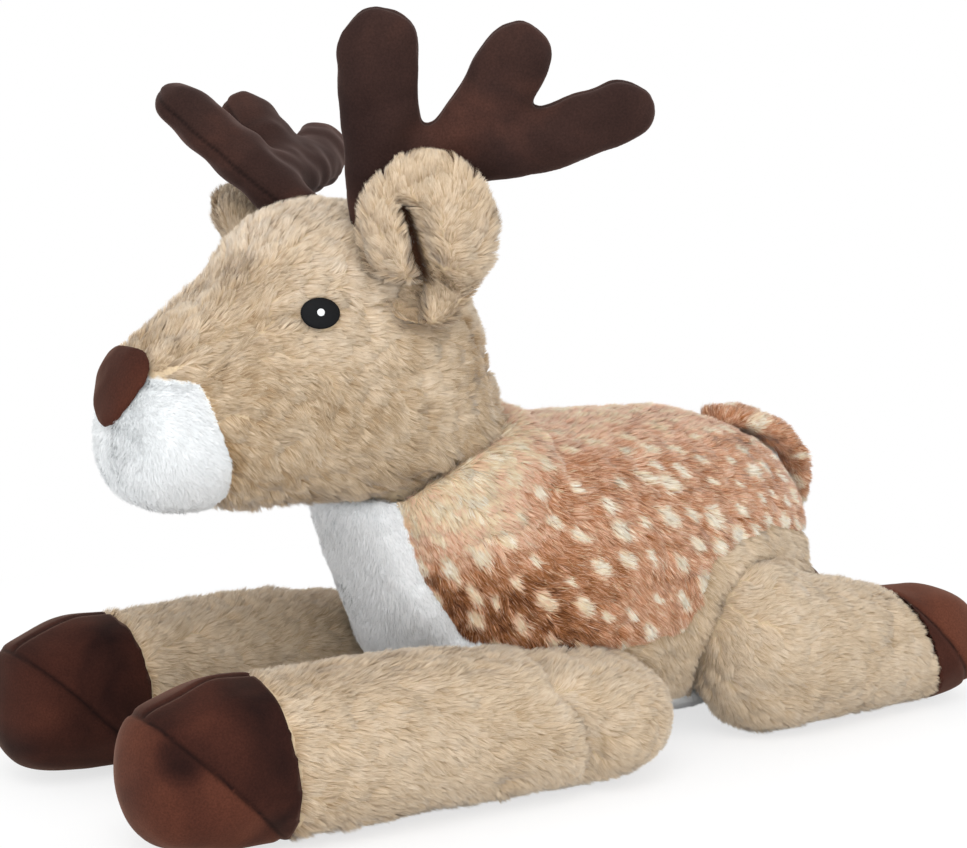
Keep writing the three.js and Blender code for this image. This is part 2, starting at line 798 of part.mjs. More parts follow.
for (const side of ['left', 'right']) {
  const group = new THREE.Group();
  const place = rootPlace(earSeat, earLift, earYawDeg, earOutLeanDeg[side], earBackLeanDeg[side]);
  const toSide = (cut) => (side === 'left' ? cut : placed(cut, mirror));
  const root = spindle(earRootRadius, earRootLength).subtract(earSlit(0));
  const leaf = placed(earLeaf(0, leafFacets).subtract(earSlit(0)), place);
  const outer = leaf.subtract(headRoom).add(placed(root, place));
  const lining = placed(
    earSlit(-seamGap).subtract(earSlit(-seamGap - plushWall)).intersect(earLeaf(0, leafFacets)),
    place,
  );
  headSockets.push(toSide(placed(spindleRoom(earRootRadius, earRootLength), place)));
  piece(group, `ear_${side}`, toSide(outer), colours.tan);
  piece(group, `ear_${side}_lining`, toSide(lining), colours.tan);
  deer.add(group);
}

// Antler: stem with the front tine, and a beam with the middle and the rear tine
const antlerLine = (shares, width) =>
  shares.map(([back, up, wide]) => ({
    y: back * antlerReach,
    z: up * antlerHeight,
    width: wide * width,
  }));
function antlerForm(grow, facets) {
  const tine = (shares, width) => {
    const line = antlerLine(shares, width);
    const tip = line.at(-1).width / 2;
    const stations = alongLine(line, antlerThickness / 2);
    return solid(form({ stations, facets, domes: [antlerThickness / 4, tip], grow }));
  };
  return tine(stemShares, stemWidth)
    .add(tine(beamShares, beamWidth))
    .add(tine(middleTineShares, middleTineWidth));
}
for (const side of ['left', 'right']) {
  const group = new THREE.Group();
  const place = rootPlace(antlerSeat, antlerLift, antlerYawDeg, antlerLeanDeg[side], 0);
  const toSide = (cut) => (side === 'left' ? cut : placed(cut, mirror));
  const root = placed(spindle(antlerRootRadius, antlerRootLength), place);
  const outer = placed(antlerForm(0, tineFacets), place).subtract(headRoom).add(root);
  const inner = (grow) => placed(antlerForm(grow, smallCore), place).subtract(headNearCore);
  const wall = outer.subtract(inner(-velvetWall)).subtract(placed(centreSlot, place));
  const outside = placed(leftSide, place);
  headSockets.push(toSide(placed(spindleRoom(antlerRootRadius, antlerRootLength), place)));
  piece(group, `antler_${side}_outer_face`, toSide(wall.intersect(outside)), colours.antler);
  piece(group, `antler_${side}_inner_face`, toSide(wall.subtract(outside)), colours.antler);
  piece(group, `antler_${side}_filling`, toSide(inner(-velvetWall - seamGap)), colours.filling);
  deer.add(group);
}

// Nose: a rounded triangle, tipped back, that wraps round the front of the muzzle
function noseSolid() {
  const w = noseWidth / 2 - noseEdge;
  const h = noseHeight / 2 - noseEdge;
  const shape = new THREE.Shape();
  shape.moveTo(0, -h);
  shape.quadraticCurveTo(w / 2, -h, w, h / 3);
  shape.quadraticCurveTo(w, h, w / 2, h);
  shape.lineTo(-w / 2, h);
  shape.quadraticCurveTo(-w, h, -w, h / 3);
  shape.quadraticCurveTo(-w / 2, -h, 0, -h);
  const geometry = new THREE.ExtrudeGeometry(shape, {
    depth: noseDepth - 2 * noseEdge,
    bevelThickness: noseEdge,
    bevelSize: noseEdge,
    bevelSegments: 3,
    curveSegments: 4,
  });
  const seat = seatOn(headForm(0), [0, -far, neckRise - jawDrop + noseRise], [0, 1, 0]).point;
  const place = new THREE.Matrix4()
    .makeTranslation(0, seat.y + noseDepth / 2, seat.z)
    .multiply(new THREE.Matrix4().makeRotationX(Math.PI / 2 - deg(noseTiltDeg)));
  return solid(geometry.applyMatrix4(place)).intersect(solid(headForm(noseStand)));
}

// Eye and glint: low domes on the side of the head, square to its skin
const eyeSeat = seatOn(
  headForm(0),
  [far, -neckForward - eyeForward, neckRise - jawDrop + eyeRise],
  [-1, 0, 0],
);
function lens(diameter, back, rim, crown) {
  const r = diameter / 2;
  const profile = [[0, back], [r, back]].map(([x, y]) => new THREE.Vector2(x, y));
  for (const [across, up] of domeShares) {
    profile.push(new THREE.Vector2(across * r, rim + up * (crown - rim)));
  }
  const turn = new THREE.Quaternion().setFromUnitVectors(pointOf(0, 1, 0), eyeSeat.normal);
  const geometry = new THREE.LatheGeometry(profile, lensTurns);
  return solid(geometry.applyQuaternion(turn).translate(...eyeSeat.point));
}
const headGroup = new THREE.Group();
const eyeWhole = lens(eyeDiameter, eyeStand - eyeThickness, 0, eyeStand).subtract(headNear);
const glintBack = eyeStand + seamGap;
const glint = lens(glintDiameter, glintBack, glintBack + seamGap, eyeStand + glintStand);
for (const side of ['left', 'right']) {
  const toSide = (cut) => (side === 'left' ? cut : placed(cut, mirror));
  piece(headGroup, `eye_${side}`, toSide(eyeWhole), colours.black, 0.6);
  piece(headGroup, `eye_glint_${side}`, toSide(glint), colours.white, 0.6);
}

// Head: a gusset over the top, cheeks, a white muzzle, and the ball that fills the collar
const headCore = (grow) =>
  solid(headForm(grow, bodyCore)).add(neckBall(neckRadius + grow, ballCore));
let headWall = solid(headForm(0)).subtract(collarRoom).add(neckBall(neckRadius, neckFacets));
headWall = headWall.subtract(headCore(-plushWall));
let headFilling = headCore(-plushWall - seamGap);
for (const socket of headSockets) {
  headWall = headWall.subtract(socket);
  headFilling = headFilling.subtract(socket);
}
const headLine = (shares) => shares.map(headPoint);
const gussetLine = headLine(gussetEdgeShares);
const muzzleLine = headLine(muzzleEdgeShares);
const muzzleTop = gussetLine.slice(0, 2);
const neckCup = headWall.intersect(belowCollar).subtract(seamSlot(collarLine));
headWall = headWall.subtract(belowCollar).subtract(seamSlot(collarLine));
for (const line of [gussetLine, muzzleLine]) headWall = headWall.subtract(seamSlot(line));
const gussetRegion = sideBlock([...gussetLine, [gussetLine.at(-1)[0], far], [gussetLine[0][0], far]]);
const muzzleRegion = sideBlock([...muzzleTop, ...muzzleLine.slice(1), [muzzleTop[0][0], muzzleLine.at(-1)[1]]]);
piece(headGroup, 'head_gusset', headWall.intersect(gussetRegion), colours.tan);
const lowerHead = headWall.subtract(gussetRegion);
pieceEachSide(headGroup, 'muzzle', lowerHead.intersect(muzzleRegion), colours.white);
pieceEachSide(headGroup, 'cheek', lowerHead.subtract(muzzleRegion), colours.tan);
piece(headGroup, 'neck_cup', neckCup, colours.tan);
piece(headGroup, 'nose', noseSolid().subtract(headNear), colours.velvet);
piece(headGroup, 'head_filling', headFilling, colours.filling);
deer.add(headGroup);

export default deer;
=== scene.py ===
# %% [markdown]
# # A large plush deer
# The deer lies on its belly. Its cloth is sewn from panels of long tan pile, short white pile,
# spotted rust pile and brown velvet, and it is stuffed with fibre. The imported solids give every
# panel its place. This lesson turns them into soft stuffed forms and then grows the pile on them.

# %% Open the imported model
import json
import math
import bmesh
import bpy
import numpy as np
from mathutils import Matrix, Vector, noise
from mathutils.bvhtree import BVHTree
from mathutils.kdtree import KDTree

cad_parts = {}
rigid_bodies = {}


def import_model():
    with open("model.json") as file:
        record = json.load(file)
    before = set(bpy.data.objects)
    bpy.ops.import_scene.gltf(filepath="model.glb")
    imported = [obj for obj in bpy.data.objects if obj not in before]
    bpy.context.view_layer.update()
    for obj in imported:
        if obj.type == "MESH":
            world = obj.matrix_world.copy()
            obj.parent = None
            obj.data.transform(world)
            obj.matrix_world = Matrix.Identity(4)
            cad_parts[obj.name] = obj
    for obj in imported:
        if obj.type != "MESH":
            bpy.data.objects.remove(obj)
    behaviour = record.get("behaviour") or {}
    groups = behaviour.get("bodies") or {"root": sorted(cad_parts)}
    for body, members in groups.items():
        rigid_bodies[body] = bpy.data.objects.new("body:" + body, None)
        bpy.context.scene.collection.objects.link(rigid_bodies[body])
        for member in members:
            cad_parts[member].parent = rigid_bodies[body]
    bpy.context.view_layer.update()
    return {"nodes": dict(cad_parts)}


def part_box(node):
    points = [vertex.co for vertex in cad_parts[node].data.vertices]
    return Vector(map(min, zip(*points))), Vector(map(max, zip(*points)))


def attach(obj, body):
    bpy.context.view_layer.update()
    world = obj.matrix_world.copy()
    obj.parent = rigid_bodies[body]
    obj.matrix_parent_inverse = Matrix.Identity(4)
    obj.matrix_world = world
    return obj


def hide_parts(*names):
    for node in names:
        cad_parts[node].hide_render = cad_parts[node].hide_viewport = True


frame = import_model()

MM = 0.001
SIDES = (("left", 1), ("right", -1))
WHITE = (1, 1, 1, 1)

# %% [markdown]
# ## Small helpers
# An object shows up only when it is linked to the scene, and shader nodes are all made, set and
# linked in the same way.

# %% Define helpers for objects and shader nodes
def placed(label, data):
    """A new object in the scene."""
    piece = bpy.data.objects.new(label, data)
    bpy.context.scene.collection.objects.link(piece)
    return piece


def aim(piece, place, target):
    """Puts a camera or a lamp at a place and turns it to a target."""
    piece.location = place
    piece.rotation_mode = "QUATERNION"
    piece.rotation_quaternion = (Vector(target) - Vector(place)).to_track_quat("-Z", "Y")


def set_inputs(node, values):
    """Gives a shader node its input values."""
    for name, value in values.items():
        node.inputs[name].default_value = value
    return node


def add_node(tree, kind, values=None, **settings):
    """A new shader node with its settings and its input values."""
    node = tree.nodes.new("ShaderNode" + kind)
    for name, value in settings.items():
        setattr(node, name, value)
    return set_inputs(node, values or {})


def wire(tree, rows):
    """Links shader nodes: each row has a node, its output, the next node and its input."""
    for source, output, target, entry in rows:
        tree.links.new(source.outputs[output], target.inputs[entry])


# %% [markdown]
# ## The camera and the studio
# A soft toy is photographed with a long lens, from a little above its middle, so that nothing
# looks stretched.

# %% Place the camera
LENS_MM = 80.04
SENSOR_MM = 36
CAMERA_AT = Vector((1298.0, -949.0, 464.0)) * MM
LOOKS_AT = Vector((0.0, -40.0, 241.0)) * MM

camera_data = bpy.data.cameras.new("camera")
camera_data.lens = LENS_MM
camera_data.sensor_width = SENSOR_MM
camera = placed("camera", camera_data)
aim(camera, CAMERA_AT, LOOKS_AT)
bpy.context.scene.camera = camera
print("The camera stands", round((LOOKS_AT - CAMERA_AT).length, 3), "m away")

# %% [markdown]
# ## Light
# Long pile looks best in broad, soft light: each tuft gets a light side and a faint shadow.
# One large lamp hangs high on the camera's side, a weaker one fills from low beside the camera,
# and a pale world lights the rest.

# %% Set up the lamps and the world
LAMPS_AIM_AT = (0, 0, 0.2)
WORLD_LEVEL = 0.99
# Each lamp's place, its width in metres and its power in watts
LAMPS = {"key_lamp": ((1.3, -1.1, 2.4), 1.6, 26), "fill_lamp": ((1.9, -1.4, 0.6), 1.8, 18)}

for label, (place, size, watts) in LAMPS.items():
    lamp_data = bpy.data.lights.new(label, "AREA")
    lamp_data.shape = "SQUARE"
    lamp_data.size = size
    lamp_data.energy = watts
    aim(placed(label, lamp_data), place, LAMPS_AIM_AT)
    print(label, "has", watts, "watts")

world = bpy.data.worlds.new("studio")
bpy.context.scene.world = world
world.use_nodes = True
tree = world.node_tree
tree.nodes.clear()
out = add_node(tree, "OutputWorld")
mix = add_node(tree, "MixShader")
room_light = add_node(tree, "Background", {"Color": WHITE, "Strength": WORLD_LEVEL})
backdrop = add_node(tree, "Background", {"Color": WHITE, "Strength": 1})
path = add_node(tree, "LightPath")
seen = add_node(tree, "Math", operation="MAXIMUM")
wire(tree, [
    (path, "Is Camera Ray", seen, 0),
    (path, "Is Glossy Ray", seen, 1),
    (seen, 0, mix, "Fac"),
    (room_light, 0, mix, 1),
    (backdrop, 0, mix, 2),
    (mix, 0, out, "Surface")])
bpy.context.scene.view_settings.view_transform = "Standard"

# %% [markdown]
# ## The floor
# The floor is a wide pale disc. It shows the soft contact shadow close to the toy, and further
# out it goes over into the white of the backdrop.

# %% Lay the floor
FLOOR_RADIUS = 6.0
SHADOW_NEAR = 0.30
SHADOW_FAR = 0.75
WHITE_NEAR = 0.7
FLOOR_GREY = (0.93, 0.93, 0.93, 1)

disc = bmesh.new()
bmesh.ops.create_circle(disc, cap_ends=True, cap_tris=False, segments=64, radius=FLOOR_RADIUS)
floor_data = bpy.data.meshes.new("floor")
disc.to_mesh(floor_data)
disc.free()
floor = placed("floor", floor_data)

floor_look = bpy.data.materials.new("pale floor")
floor_look.use_nodes = True
floor_data.materials.append(floor_look)
tree = floor_look.node_tree
tree.nodes.clear()
out = add_node(tree, "OutputMaterial")
mix = add_node(tree, "MixShader")
matt = add_node(tree, "BsdfDiffuse", {"Color": FLOOR_GREY})
glow = add_node(tree, "Emission")
where = add_node(tree, "TexCoord")
reach = add_node(tree, "VectorMath", operation="LENGTH")
fade = add_node(tree, "MapRange", {"From Min": SHADOW_NEAR, "From Max": SHADOW_FAR,
                                   "To Min": WHITE_NEAR})
path = add_node(tree, "LightPath")
seen = add_node(tree, "Math", operation="MULTIPLY")
wire(tree, [
    (where, "Object", reach, 0),
    (reach, "Value", fade, "Value"),
    (fade, "Result", seen, 0),
    (path, "Is Camera Ray", seen, 1),
    (seen, 0, mix, "Fac"),
    (matt, 0, mix, 1),
    (glow, 0, mix, 2),
    (mix, 0, out, "Surface")])
print("The floor is", 2 * FLOOR_RADIUS, "m across")

# %% [markdown]
# ## From sewn panels to a stuffed form
# A stuffed toy has no flat facets: the fibre presses the cloth out until it is round, and the
# seams pull in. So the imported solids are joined, remeshed on a fine grid and smoothed. The pile
# stands on the cloth, and the form is drawn in by the height of the pile.

# %% Define the stuffed form
LOWEST = 0.4 * MM
STEP_REACH = 32 * MM
SMOOTHING = 4


def solids_of(names):
    """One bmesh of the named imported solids, with their loose triangles joined."""
    joined = bmesh.new()
    for name in names:
        joined.from_mesh(frame["nodes"][name].data)
    bmesh.ops.remove_doubles(joined, verts=joined.verts, dist=0.001 * MM)
    return joined


def tree_of(names):
    """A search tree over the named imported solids."""
    solid = solids_of(names)
    tree = BVHTree.FromBMesh(solid)
    solid.free()
    return tree


def places_of(name):
    """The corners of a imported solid."""
    return np.array([vert.co for vert in frame["nodes"][name].data.vertices])


def axes_of(places):
    """The directions of a cloud of points, the one in which it is thinnest first."""
    return np.linalg.eigh(np.cov((places - places.mean(0)).T))[1]


def largest_shell(mesh):
    """Deletes every loose shell but the one with the most vertices."""
    unseen = set(mesh.verts)
    shells = []
    while unseen:
        shell = [unseen.pop()]
        for vert in shell:
            fresh = {edge.other_vert(vert) for edge in vert.link_edges} & unseen
            unseen -= fresh
            shell.extend(fresh)
        shells.append(shell)
    for shell in sorted(shells, key=len)[:-1]:
        bmesh.ops.delete(mesh, geom=shell, context="VERTS")


def regridded(solid, weave):
    """The solid's outer skin on a grid of one size."""
    data = bpy.data.meshes.new("stuffing")
    solid.to_mesh(data)
    holder = placed("stuffing", data)
    grid = holder.modifiers.new("grid", "REMESH")
    grid.mode = "VOXEL"
    grid.voxel_size = weave
    bpy.context.view_layer.update()
    ready = holder.evaluated_get(bpy.context.evaluated_depsgraph_get())
    form = bmesh.new()
    form.from_mesh(ready.data)
    bpy.data.objects.remove(holder)
    bpy.data.meshes.remove(data)
    largest_shell(form)
    return form


def smooth(form, rounds):
    """Evens out the cloth, vertex by vertex."""
    for _ in range(rounds):
        bmesh.ops.smooth_vert(form, verts=form.verts, factor=0.5, use_axis_x=True,
                              use_axis_y=True, use_axis_z=True)
    form.normal_update()


def stuffed_form(names, weave, ease, inset, lump=0.0, lump_size=60 * MM, hull=False):
    """A closed smooth form over the solids. weave is its grid, ease the width that smoothing
    rounds off, inset how far it lies under the solids, and lump the height of its bumps."""
    solid = solids_of(names)
    if hull:
        shell = bmesh.ops.convex_hull(solid, input=solid.verts)
        spare = shell["geom_interior"] + shell["geom_unused"]
        bmesh.ops.delete(solid, geom=[v for v in spare if isinstance(v, bmesh.types.BMVert)],
                         context="VERTS")
        kept = set(shell["geom"])
        bmesh.ops.delete(solid, geom=[f for f in solid.faces if f not in kept], context="FACES")
    skin = BVHTree.FromBMesh(solid)
    form = regridded(solid, weave)
    solid.free()
    smooth(form, round(SMOOTHING * (ease / weave) ** 2))
    rise = 0.0
    for vert in form.verts:
        rise += (vert.co - skin.find_nearest(vert.co)[0]).dot(vert.normal)
    rise /= len(form.verts)
    for vert in form.verts:
        bump = lump * noise.noise(vert.co / lump_size) if lump else 0.0
        vert.co += vert.normal * (bump - inset - rise)
        vert.co.z = max(vert.co.z, LOWEST)
    form.normal_update()
    return form


def closest_on(start, end, point):
    """The place on a straight line that is closest to a point."""
    along = end - start
    share = (point - start).dot(along) / along.length_squared
    return start + along * min(max(share, 0), 1)


def crease(form, line, depth, width, step=0.0):
    """Presses a soft fold into a form along a line of points. With a step, the cloth behind
    the fold stays lower than the cloth in front of it."""
    line = [Vector(point) * MM for point in line]
    for vert in form.verts:
        nearest = [closest_on(a, b, vert.co) for a, b in zip(line, line[1:])]
        away = min((vert.co - place for place in nearest), key=lambda gap: gap.length)
        sunk = depth * math.exp(-(away.length / width) ** 2)
        if away.y > 0:
            top = max(0.0, min(1.0, (line[0].z - vert.co.z) / STEP_REACH))
            sunk += step * top * math.exp(-away.length / STEP_REACH)
        vert.co -= vert.normal * sunk
    form.normal_update()


def mirrored(points, sign):
    """The points on the left for a sign of 1, and on the right for -1."""
    return [(sign * x, y, z) for x, y, z in points]


def press(form, place, push, reach):
    """Moves a soft round area of a form, like a thumb."""
    place, push = Vector(place) * MM, Vector(push) * MM
    for vert in form.verts:
        vert.co += push * math.exp(-((vert.co - place).length / (reach * MM)) ** 2)
    form.normal_update()


# %% [markdown]
# ## Which panel is where
# Pile and colour change at each seam, so every point of a form has to know its panel. The
# distance to each packed panel is measured at every vertex. The nearest panel owns the cloth,
# and where two are equally near there is a seam, which pulls the cloth in a little.

# %% Measure the panels on a form
LOOK_OUT = 1.5 * MM
PINCH_WIDTH = 5 * MM
GROOVE_WIDTH = 14 * MM
GROOVE_HEIGHTS = (60 * MM, 90 * MM)
UNDER_HEIGHT = 4 * MM
UNDER_SHARE = 0.4
HIDDEN_SHARE = 0.3


def unit(rows):
    """Each row as a direction of length 1."""
    return rows / np.maximum(np.linalg.norm(rows, axis=1, keepdims=True), 1e-9)


def smooth_step(value, low, high):
    """From 0 at low to 1 at high, with soft ends."""
    share = np.clip((value - low) / (high - low), 0, 1)
    return share * share * (3 - 2 * share)


class Cloth:
    """The arrays of a form: places, normals, triangles, and the distance to each panel. pinch
    is how far the seams pull in, and favour how much wider the first panel gets."""

    def __init__(self, form, panels, pinch=0.0, favour=0.0):
        self.panels = list(panels)
        self.reach = np.empty((len(form.verts), len(self.panels)))
        asked = [vert.co + vert.normal * LOOK_OUT for vert in form.verts]
        for column, panel in enumerate(self.panels):
            tree = tree_of([panel])
            self.reach[:, column] = [tree.find_nearest(place)[3] for place in asked]
        self.reach[:, 0] -= favour
        self.reach = np.maximum(self.reach, 0)
        if pinch:
            self.swell(form, -pinch * np.exp(-(self.seam() / PINCH_WIDTH) ** 2))
        self.read(form)

    def read(self, form):
        """Copies the form's places, normals and triangles, all fully covered with pile."""
        form.verts.index_update()
        self.place = np.array([vert.co for vert in form.verts], float)
        self.normal = np.array([vert.normal for vert in form.verts], float)
        loops = form.calc_loop_triangles()
        self.corner = np.array([[loop.vert.index for loop in tri] for tri in loops], np.int32)
        self.cover = np.ones(len(self.place))

    def owned(self, panel):
        """Whether each vertex is on the panel."""
        return np.argmin(self.reach, axis=1) == self.panels.index(panel)

    def seam(self, count=None):
        """How far each vertex is from the nearest seam, of the first count panels or of all."""
        ordered = np.sort(self.reach[:, :count], axis=1)
        return np.sqrt(np.maximum(ordered[:, 1] ** 2 - ordered[:, 0] ** 2, 0))

    def swell(self, form, rises):
        """Moves each vertex out along its normal."""
        for vert, rise in zip(form.verts, rises):
            vert.co += vert.normal * float(rise)
            vert.co.z = max(vert.co.z, LOWEST)
        form.normal_update()

    def away_from(self, source, droop):
        """Lays the pile away from a source, and down by droop."""
        return self.laid(unit(self.place - np.array(source)) - [0, 0, droop])

    def laid(self, direction):
        """Lays the pile along a direction."""
        direction = np.broadcast_to(direction, self.place.shape)
        upright = np.sum(direction * self.normal, axis=1, keepdims=True)
        self.lie = unit(direction - self.normal * upright)
        return self

    def gap_to(self, names):
        """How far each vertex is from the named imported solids."""
        tree = tree_of(names)
        return np.array([tree.find_nearest(Vector(place))[3] for place in self.place])

    def groove_beside(self, names):
        """From 1 at the named solids to 0 well away from them, and only above the floor."""
        near = np.exp(-(self.gap_to(names) / GROOVE_WIDTH) ** 2)
        return near * smooth_step(self.place[:, 2], *GROOVE_HEIGHTS)

    def thin_under(self):
        """Fewer hairs where the cloth is pressed to the floor."""
        under = (self.normal[:, 2] < -0.8) & (self.place[:, 2] < UNDER_HEIGHT)
        self.cover[under] *= UNDER_SHARE
        return self

    def thin_inside(self, names, gap=5 * MM):
        """Fewer hairs where the cloth is hidden in another part."""
        self.cover[self.gap_to(names) < gap] *= HIDDEN_SHARE
        return self


# %% [markdown]
# ## The look of cloth and pile
# A hair is matt, and darker at its root, where little light gets in. Its colour is read from
# two ramps: one across the tones of the fibre, one up the hair. The knitted cloth under the
# pile has the pile's own colour, and shows only where the pile parts.

# %% Mix the colours
def srgb(red, green, blue):
    """A colour as it looks on a screen, from 0 to 255, in the linear values of a shader."""
    def channel(value):
        value /= 255
        return value / 12.92 if value <= 0.04045 else ((value + 0.055) / 1.055) ** 2.4
    return channel(red), channel(green), channel(blue), 1.0


def ramp(tree, stops):
    """A colour ramp node with (position, colour) stops."""
    node = add_node(tree, "ValToRGB")
    elements = node.color_ramp.elements
    while len(elements) > 1:
        elements.remove(elements[-1])
    elements[0].position, elements[0].color = stops[0]
    for position, colour in stops[1:]:
        elements.new(position).color = colour
    return node


def shaded(colour, share):
    """A colour made darker, or paler with a share over 1."""
    return tuple(share * part for part in colour[:3]) + (1,)


def matt_look(label, roughness, gloss, sheen_values=None):
    """A new material, its node tree and its surface."""
    look = bpy.data.materials.new(label)
    look.use_nodes = True
    values = {"Roughness": roughness, "Specular IOR Level": gloss, **(sheen_values or {})}
    surface = set_inputs(look.node_tree.nodes["Principled BSDF"], values)
    return look, look.node_tree, surface


def noise_on(tree, values):
    """Noise on the piece's own coordinates."""
    where = add_node(tree, "TexCoord")
    grain = add_node(tree, "TexNoise", values)
    wire(tree, [(where, "Object", grain, "Vector")])
    return grain


def multiplied(tree, first, second):
    """The product of two colours."""
    node = add_node(tree, "Mix", {"Factor": 1}, data_type="RGBA", blend_type="MULTIPLY")
    wire(tree, [(first, "Color", node, "A"), (second, "Color", node, "B")])
    return node


def pile_look(label, stops, root_shade, sheen):
    """A matt fibre whose colour comes from the hair's two numbers."""
    sheen_values = {"Sheen Weight": sheen, "Sheen Roughness": 0.5}
    look, tree, surface = matt_look(label, 0.9, 0.1, sheen_values)
    hair = add_node(tree, "UVMap", uv_map="OFBake")
    parts = add_node(tree, "SeparateXYZ")
    tones = ramp(tree, [(position, srgb(*colour)) for position, colour in stops])
    climb = ramp(tree, [(0.0, srgb(*root_shade)), (0.7, WHITE)])
    wire(tree, [
        (hair, "UV", parts, 0),
        (parts, "X", tones, "Fac"),
        (parts, "Y", climb, "Fac"),
        (multiplied(tree, tones, climb), "Result", surface, "Base Color")])
    return look


tan_pile = pile_look("tan pile", [
    (0.0, (70, 48, 34)), (0.22, (166, 136, 98)), (0.55, (221, 201, 173)),
    (1.0, (244, 232, 216))], (238, 228, 216), 0.3)
white_pile = pile_look("white pile", [
    (0.0, (226, 231, 234)), (0.5, (245, 248, 249)), (1.0, (252, 253, 254))],
    (250, 250, 250), 0.1)
spotted_pile = pile_look("spotted pile", [
    (0.0, (92, 51, 26)), (0.2, (158, 102, 59)), (0.42, (205, 148, 110)),
    (0.62, (240, 203, 179)), (0.8, (234, 216, 178)), (1.0, (250, 245, 232))],
    (236, 220, 208), 0.3)


def backing_look():
    """The knitted cloth under the pile, in each panel's own colour, with painted shade in ears'
    folds.
    """
    look, tree, surface = matt_look("plush backing", 1.0, 0.1)
    dye_and_shade = add_node(tree, "Attribute", attribute_name="DyeAndShade")
    knit = noise_on(tree, {"Scale": 400})
    tones = ramp(tree, [(0.3, shaded(WHITE, 0.8)), (0.7, WHITE)])
    wire(tree, [
        (knit, "Fac", tones, "Fac"),
        (multiplied(tree, dye_and_shade, tones), "Result", surface, "Base Color")])
    return look


backing = backing_look()
TAN_DYE = srgb(210, 188, 156)
WHITE_DYE = srgb(240, 243, 244)
RUST_DYE = srgb(200, 152, 120)


def finished(label, mesh, body, look, stands_for):
    """Makes the object of a mesh, smooth, riding on its body."""
    data = bpy.data.meshes.new(label)
    mesh.to_mesh(data)
    mesh.free()
    data.shade_smooth()
    data.materials.append(look)
    piece = placed(label, data)
    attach(piece, body)
    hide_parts(*stands_for)
    print(label, len(data.vertices), "vertices")
    return piece


def stuffing(label, form, cloth, dyes, body, stands_for, tint=None, tinted=None):
    """The stuffed core of a part, its cloth coloured panel by panel. Where tinted says so, the
    cloth has the colour tint instead: the collar's own colour on the trunk, and painted shade
    deep in an ear's fold."""
    piece = finished(label, form, body, backing, stands_for)
    dye_and_shade_layer = piece.data.attributes.new("DyeAndShade", "FLOAT_COLOR", "POINT")
    colours = np.array(dyes, np.float32)[np.argmin(cloth.reach, axis=1)]
    if tinted is not None:
        colours += (np.array(tint, np.float32) - colours) * np.reshape(tinted, (-1, 1))
    dye_and_shade_layer.data.foreach_set("color", colours.reshape(-1))


# %% [markdown]
# ## The pile
# Plush has thousands of fine hairs to each square inch, brushed one way and stuck together in
# small tufts. Only real mesh comes along when a piece is shared, so each hair is one narrow
# triangle, wide at the root and pointed at the tip. The hairs lean together in fine locks, and
# the locks in wider tufts. Each hair keeps two numbers in its UV map: its tone, and how far up
# it is.

# %% Scatter the roots and gather them in locks and tufts
HAIRS_AT_MOST = 195000
HAIRS_IN_A_LOCK = 7
quick_share = 1.0
rng = np.random.default_rng(3)


def wander(places, size, seed):
    """Smooth noise between about -1 and 1 at each place."""
    shift = Vector((seed * 7.1, seed * 3.3, seed * 5.7))
    return np.array([noise.noise(Vector(p) / size + shift) for p in places.tolist()])


def roots_on(cloth, panel, density, keep):
    """Random roots on one panel, with the normal, the lie and the seam distance at each."""
    own = cloth.panels.index(panel)
    tris = cloth.corner[cloth.owned(panel)[cloth.corner].any(axis=1)]
    if keep:
        tris = tris[keep(cloth.place[tris].mean(axis=1))]
    a, b, c = (cloth.place[tris[:, k]] for k in range(3))
    area = 0.5 * np.linalg.norm(np.cross(b - a, c - a), axis=1)
    area *= cloth.cover[tris].mean(axis=1)
    count = min(int(area.sum() / MM ** 2 * density), HAIRS_AT_MOST)
    count = int(count * quick_share)
    pick = rng.choice(len(tris), size=count, p=area / area.sum())
    r1, r2 = rng.random(count), rng.random(count)
    fold = r1 + r2 > 1
    r1[fold], r2[fold] = 1 - r1[fold], 1 - r2[fold]
    share = np.stack([1 - r1 - r2, r1, r2], axis=1)

    def blended(rows):
        return np.einsum("ij,ijk->ik", share, rows[tris[pick]])

    root, normal, lie = blended(cloth.place), unit(blended(cloth.normal)), blended(cloth.lie)
    reach = blended(cloth.reach)
    nearest = reach[:, own].copy()
    reach[:, own] = 1.0
    other = reach.min(axis=1)
    kept = other > nearest
    seam = np.sqrt(np.maximum(other ** 2 - nearest ** 2, 0))
    lie = unit(lie - normal * np.sum(lie * normal, axis=1, keepdims=True))
    return root[kept], normal[kept], lie[kept], seam[kept], area.sum()


def tree_over(places):
    """A search tree over places."""
    tree = KDTree(len(places))
    for index, place in enumerate(places.tolist()):
        tree.insert(place, index)
    tree.balance()
    return tree


def gathered(places, heads):
    """For each place, which of the heads is nearest."""
    tree = tree_over(heads)
    return np.array([tree.find(place)[1] for place in places.tolist()])


# %% Grow the pile on one panel
# Slow waves in the lie and in the lift: how far, over which size, and a seed
FINE_DRIFT, WIDE_DRIFT, LIFT = (1.3, 30 * MM, 1), (1.1, 90 * MM, 2), (0.16, 18 * MM, 4)
# How far tufts, locks and single hairs differ, or, with two numbers, tufts and single hairs
TURN_STRAY = (0.06, 0.15, 0.1)
LIFT_STRAY = (0.07, 0.09)
RISE_LIMITS = (0.2, 1.4)
TALL_STRAY = (0.07, 0.12)
TONE_STRAY = (0.03, 0.035, 0.065)
EDGE_WIDTH = 3.5 * MM
ROOT_DEPTH = 0.6 * MM
HAIR_LOWEST = 0.2 * MM
LOCK_PULL = 0.4
PULL_VARIES = (0.5, 1.3)
ROOM = 0.5
WIDTH_VARIES = (0.75, 1.25)
TWIST = 0.35
ROUNDNESS = 1.5
SHADE_STRAY = 0.09
ROOT_AND_TIP = (0.02, 0.02, 0.98)


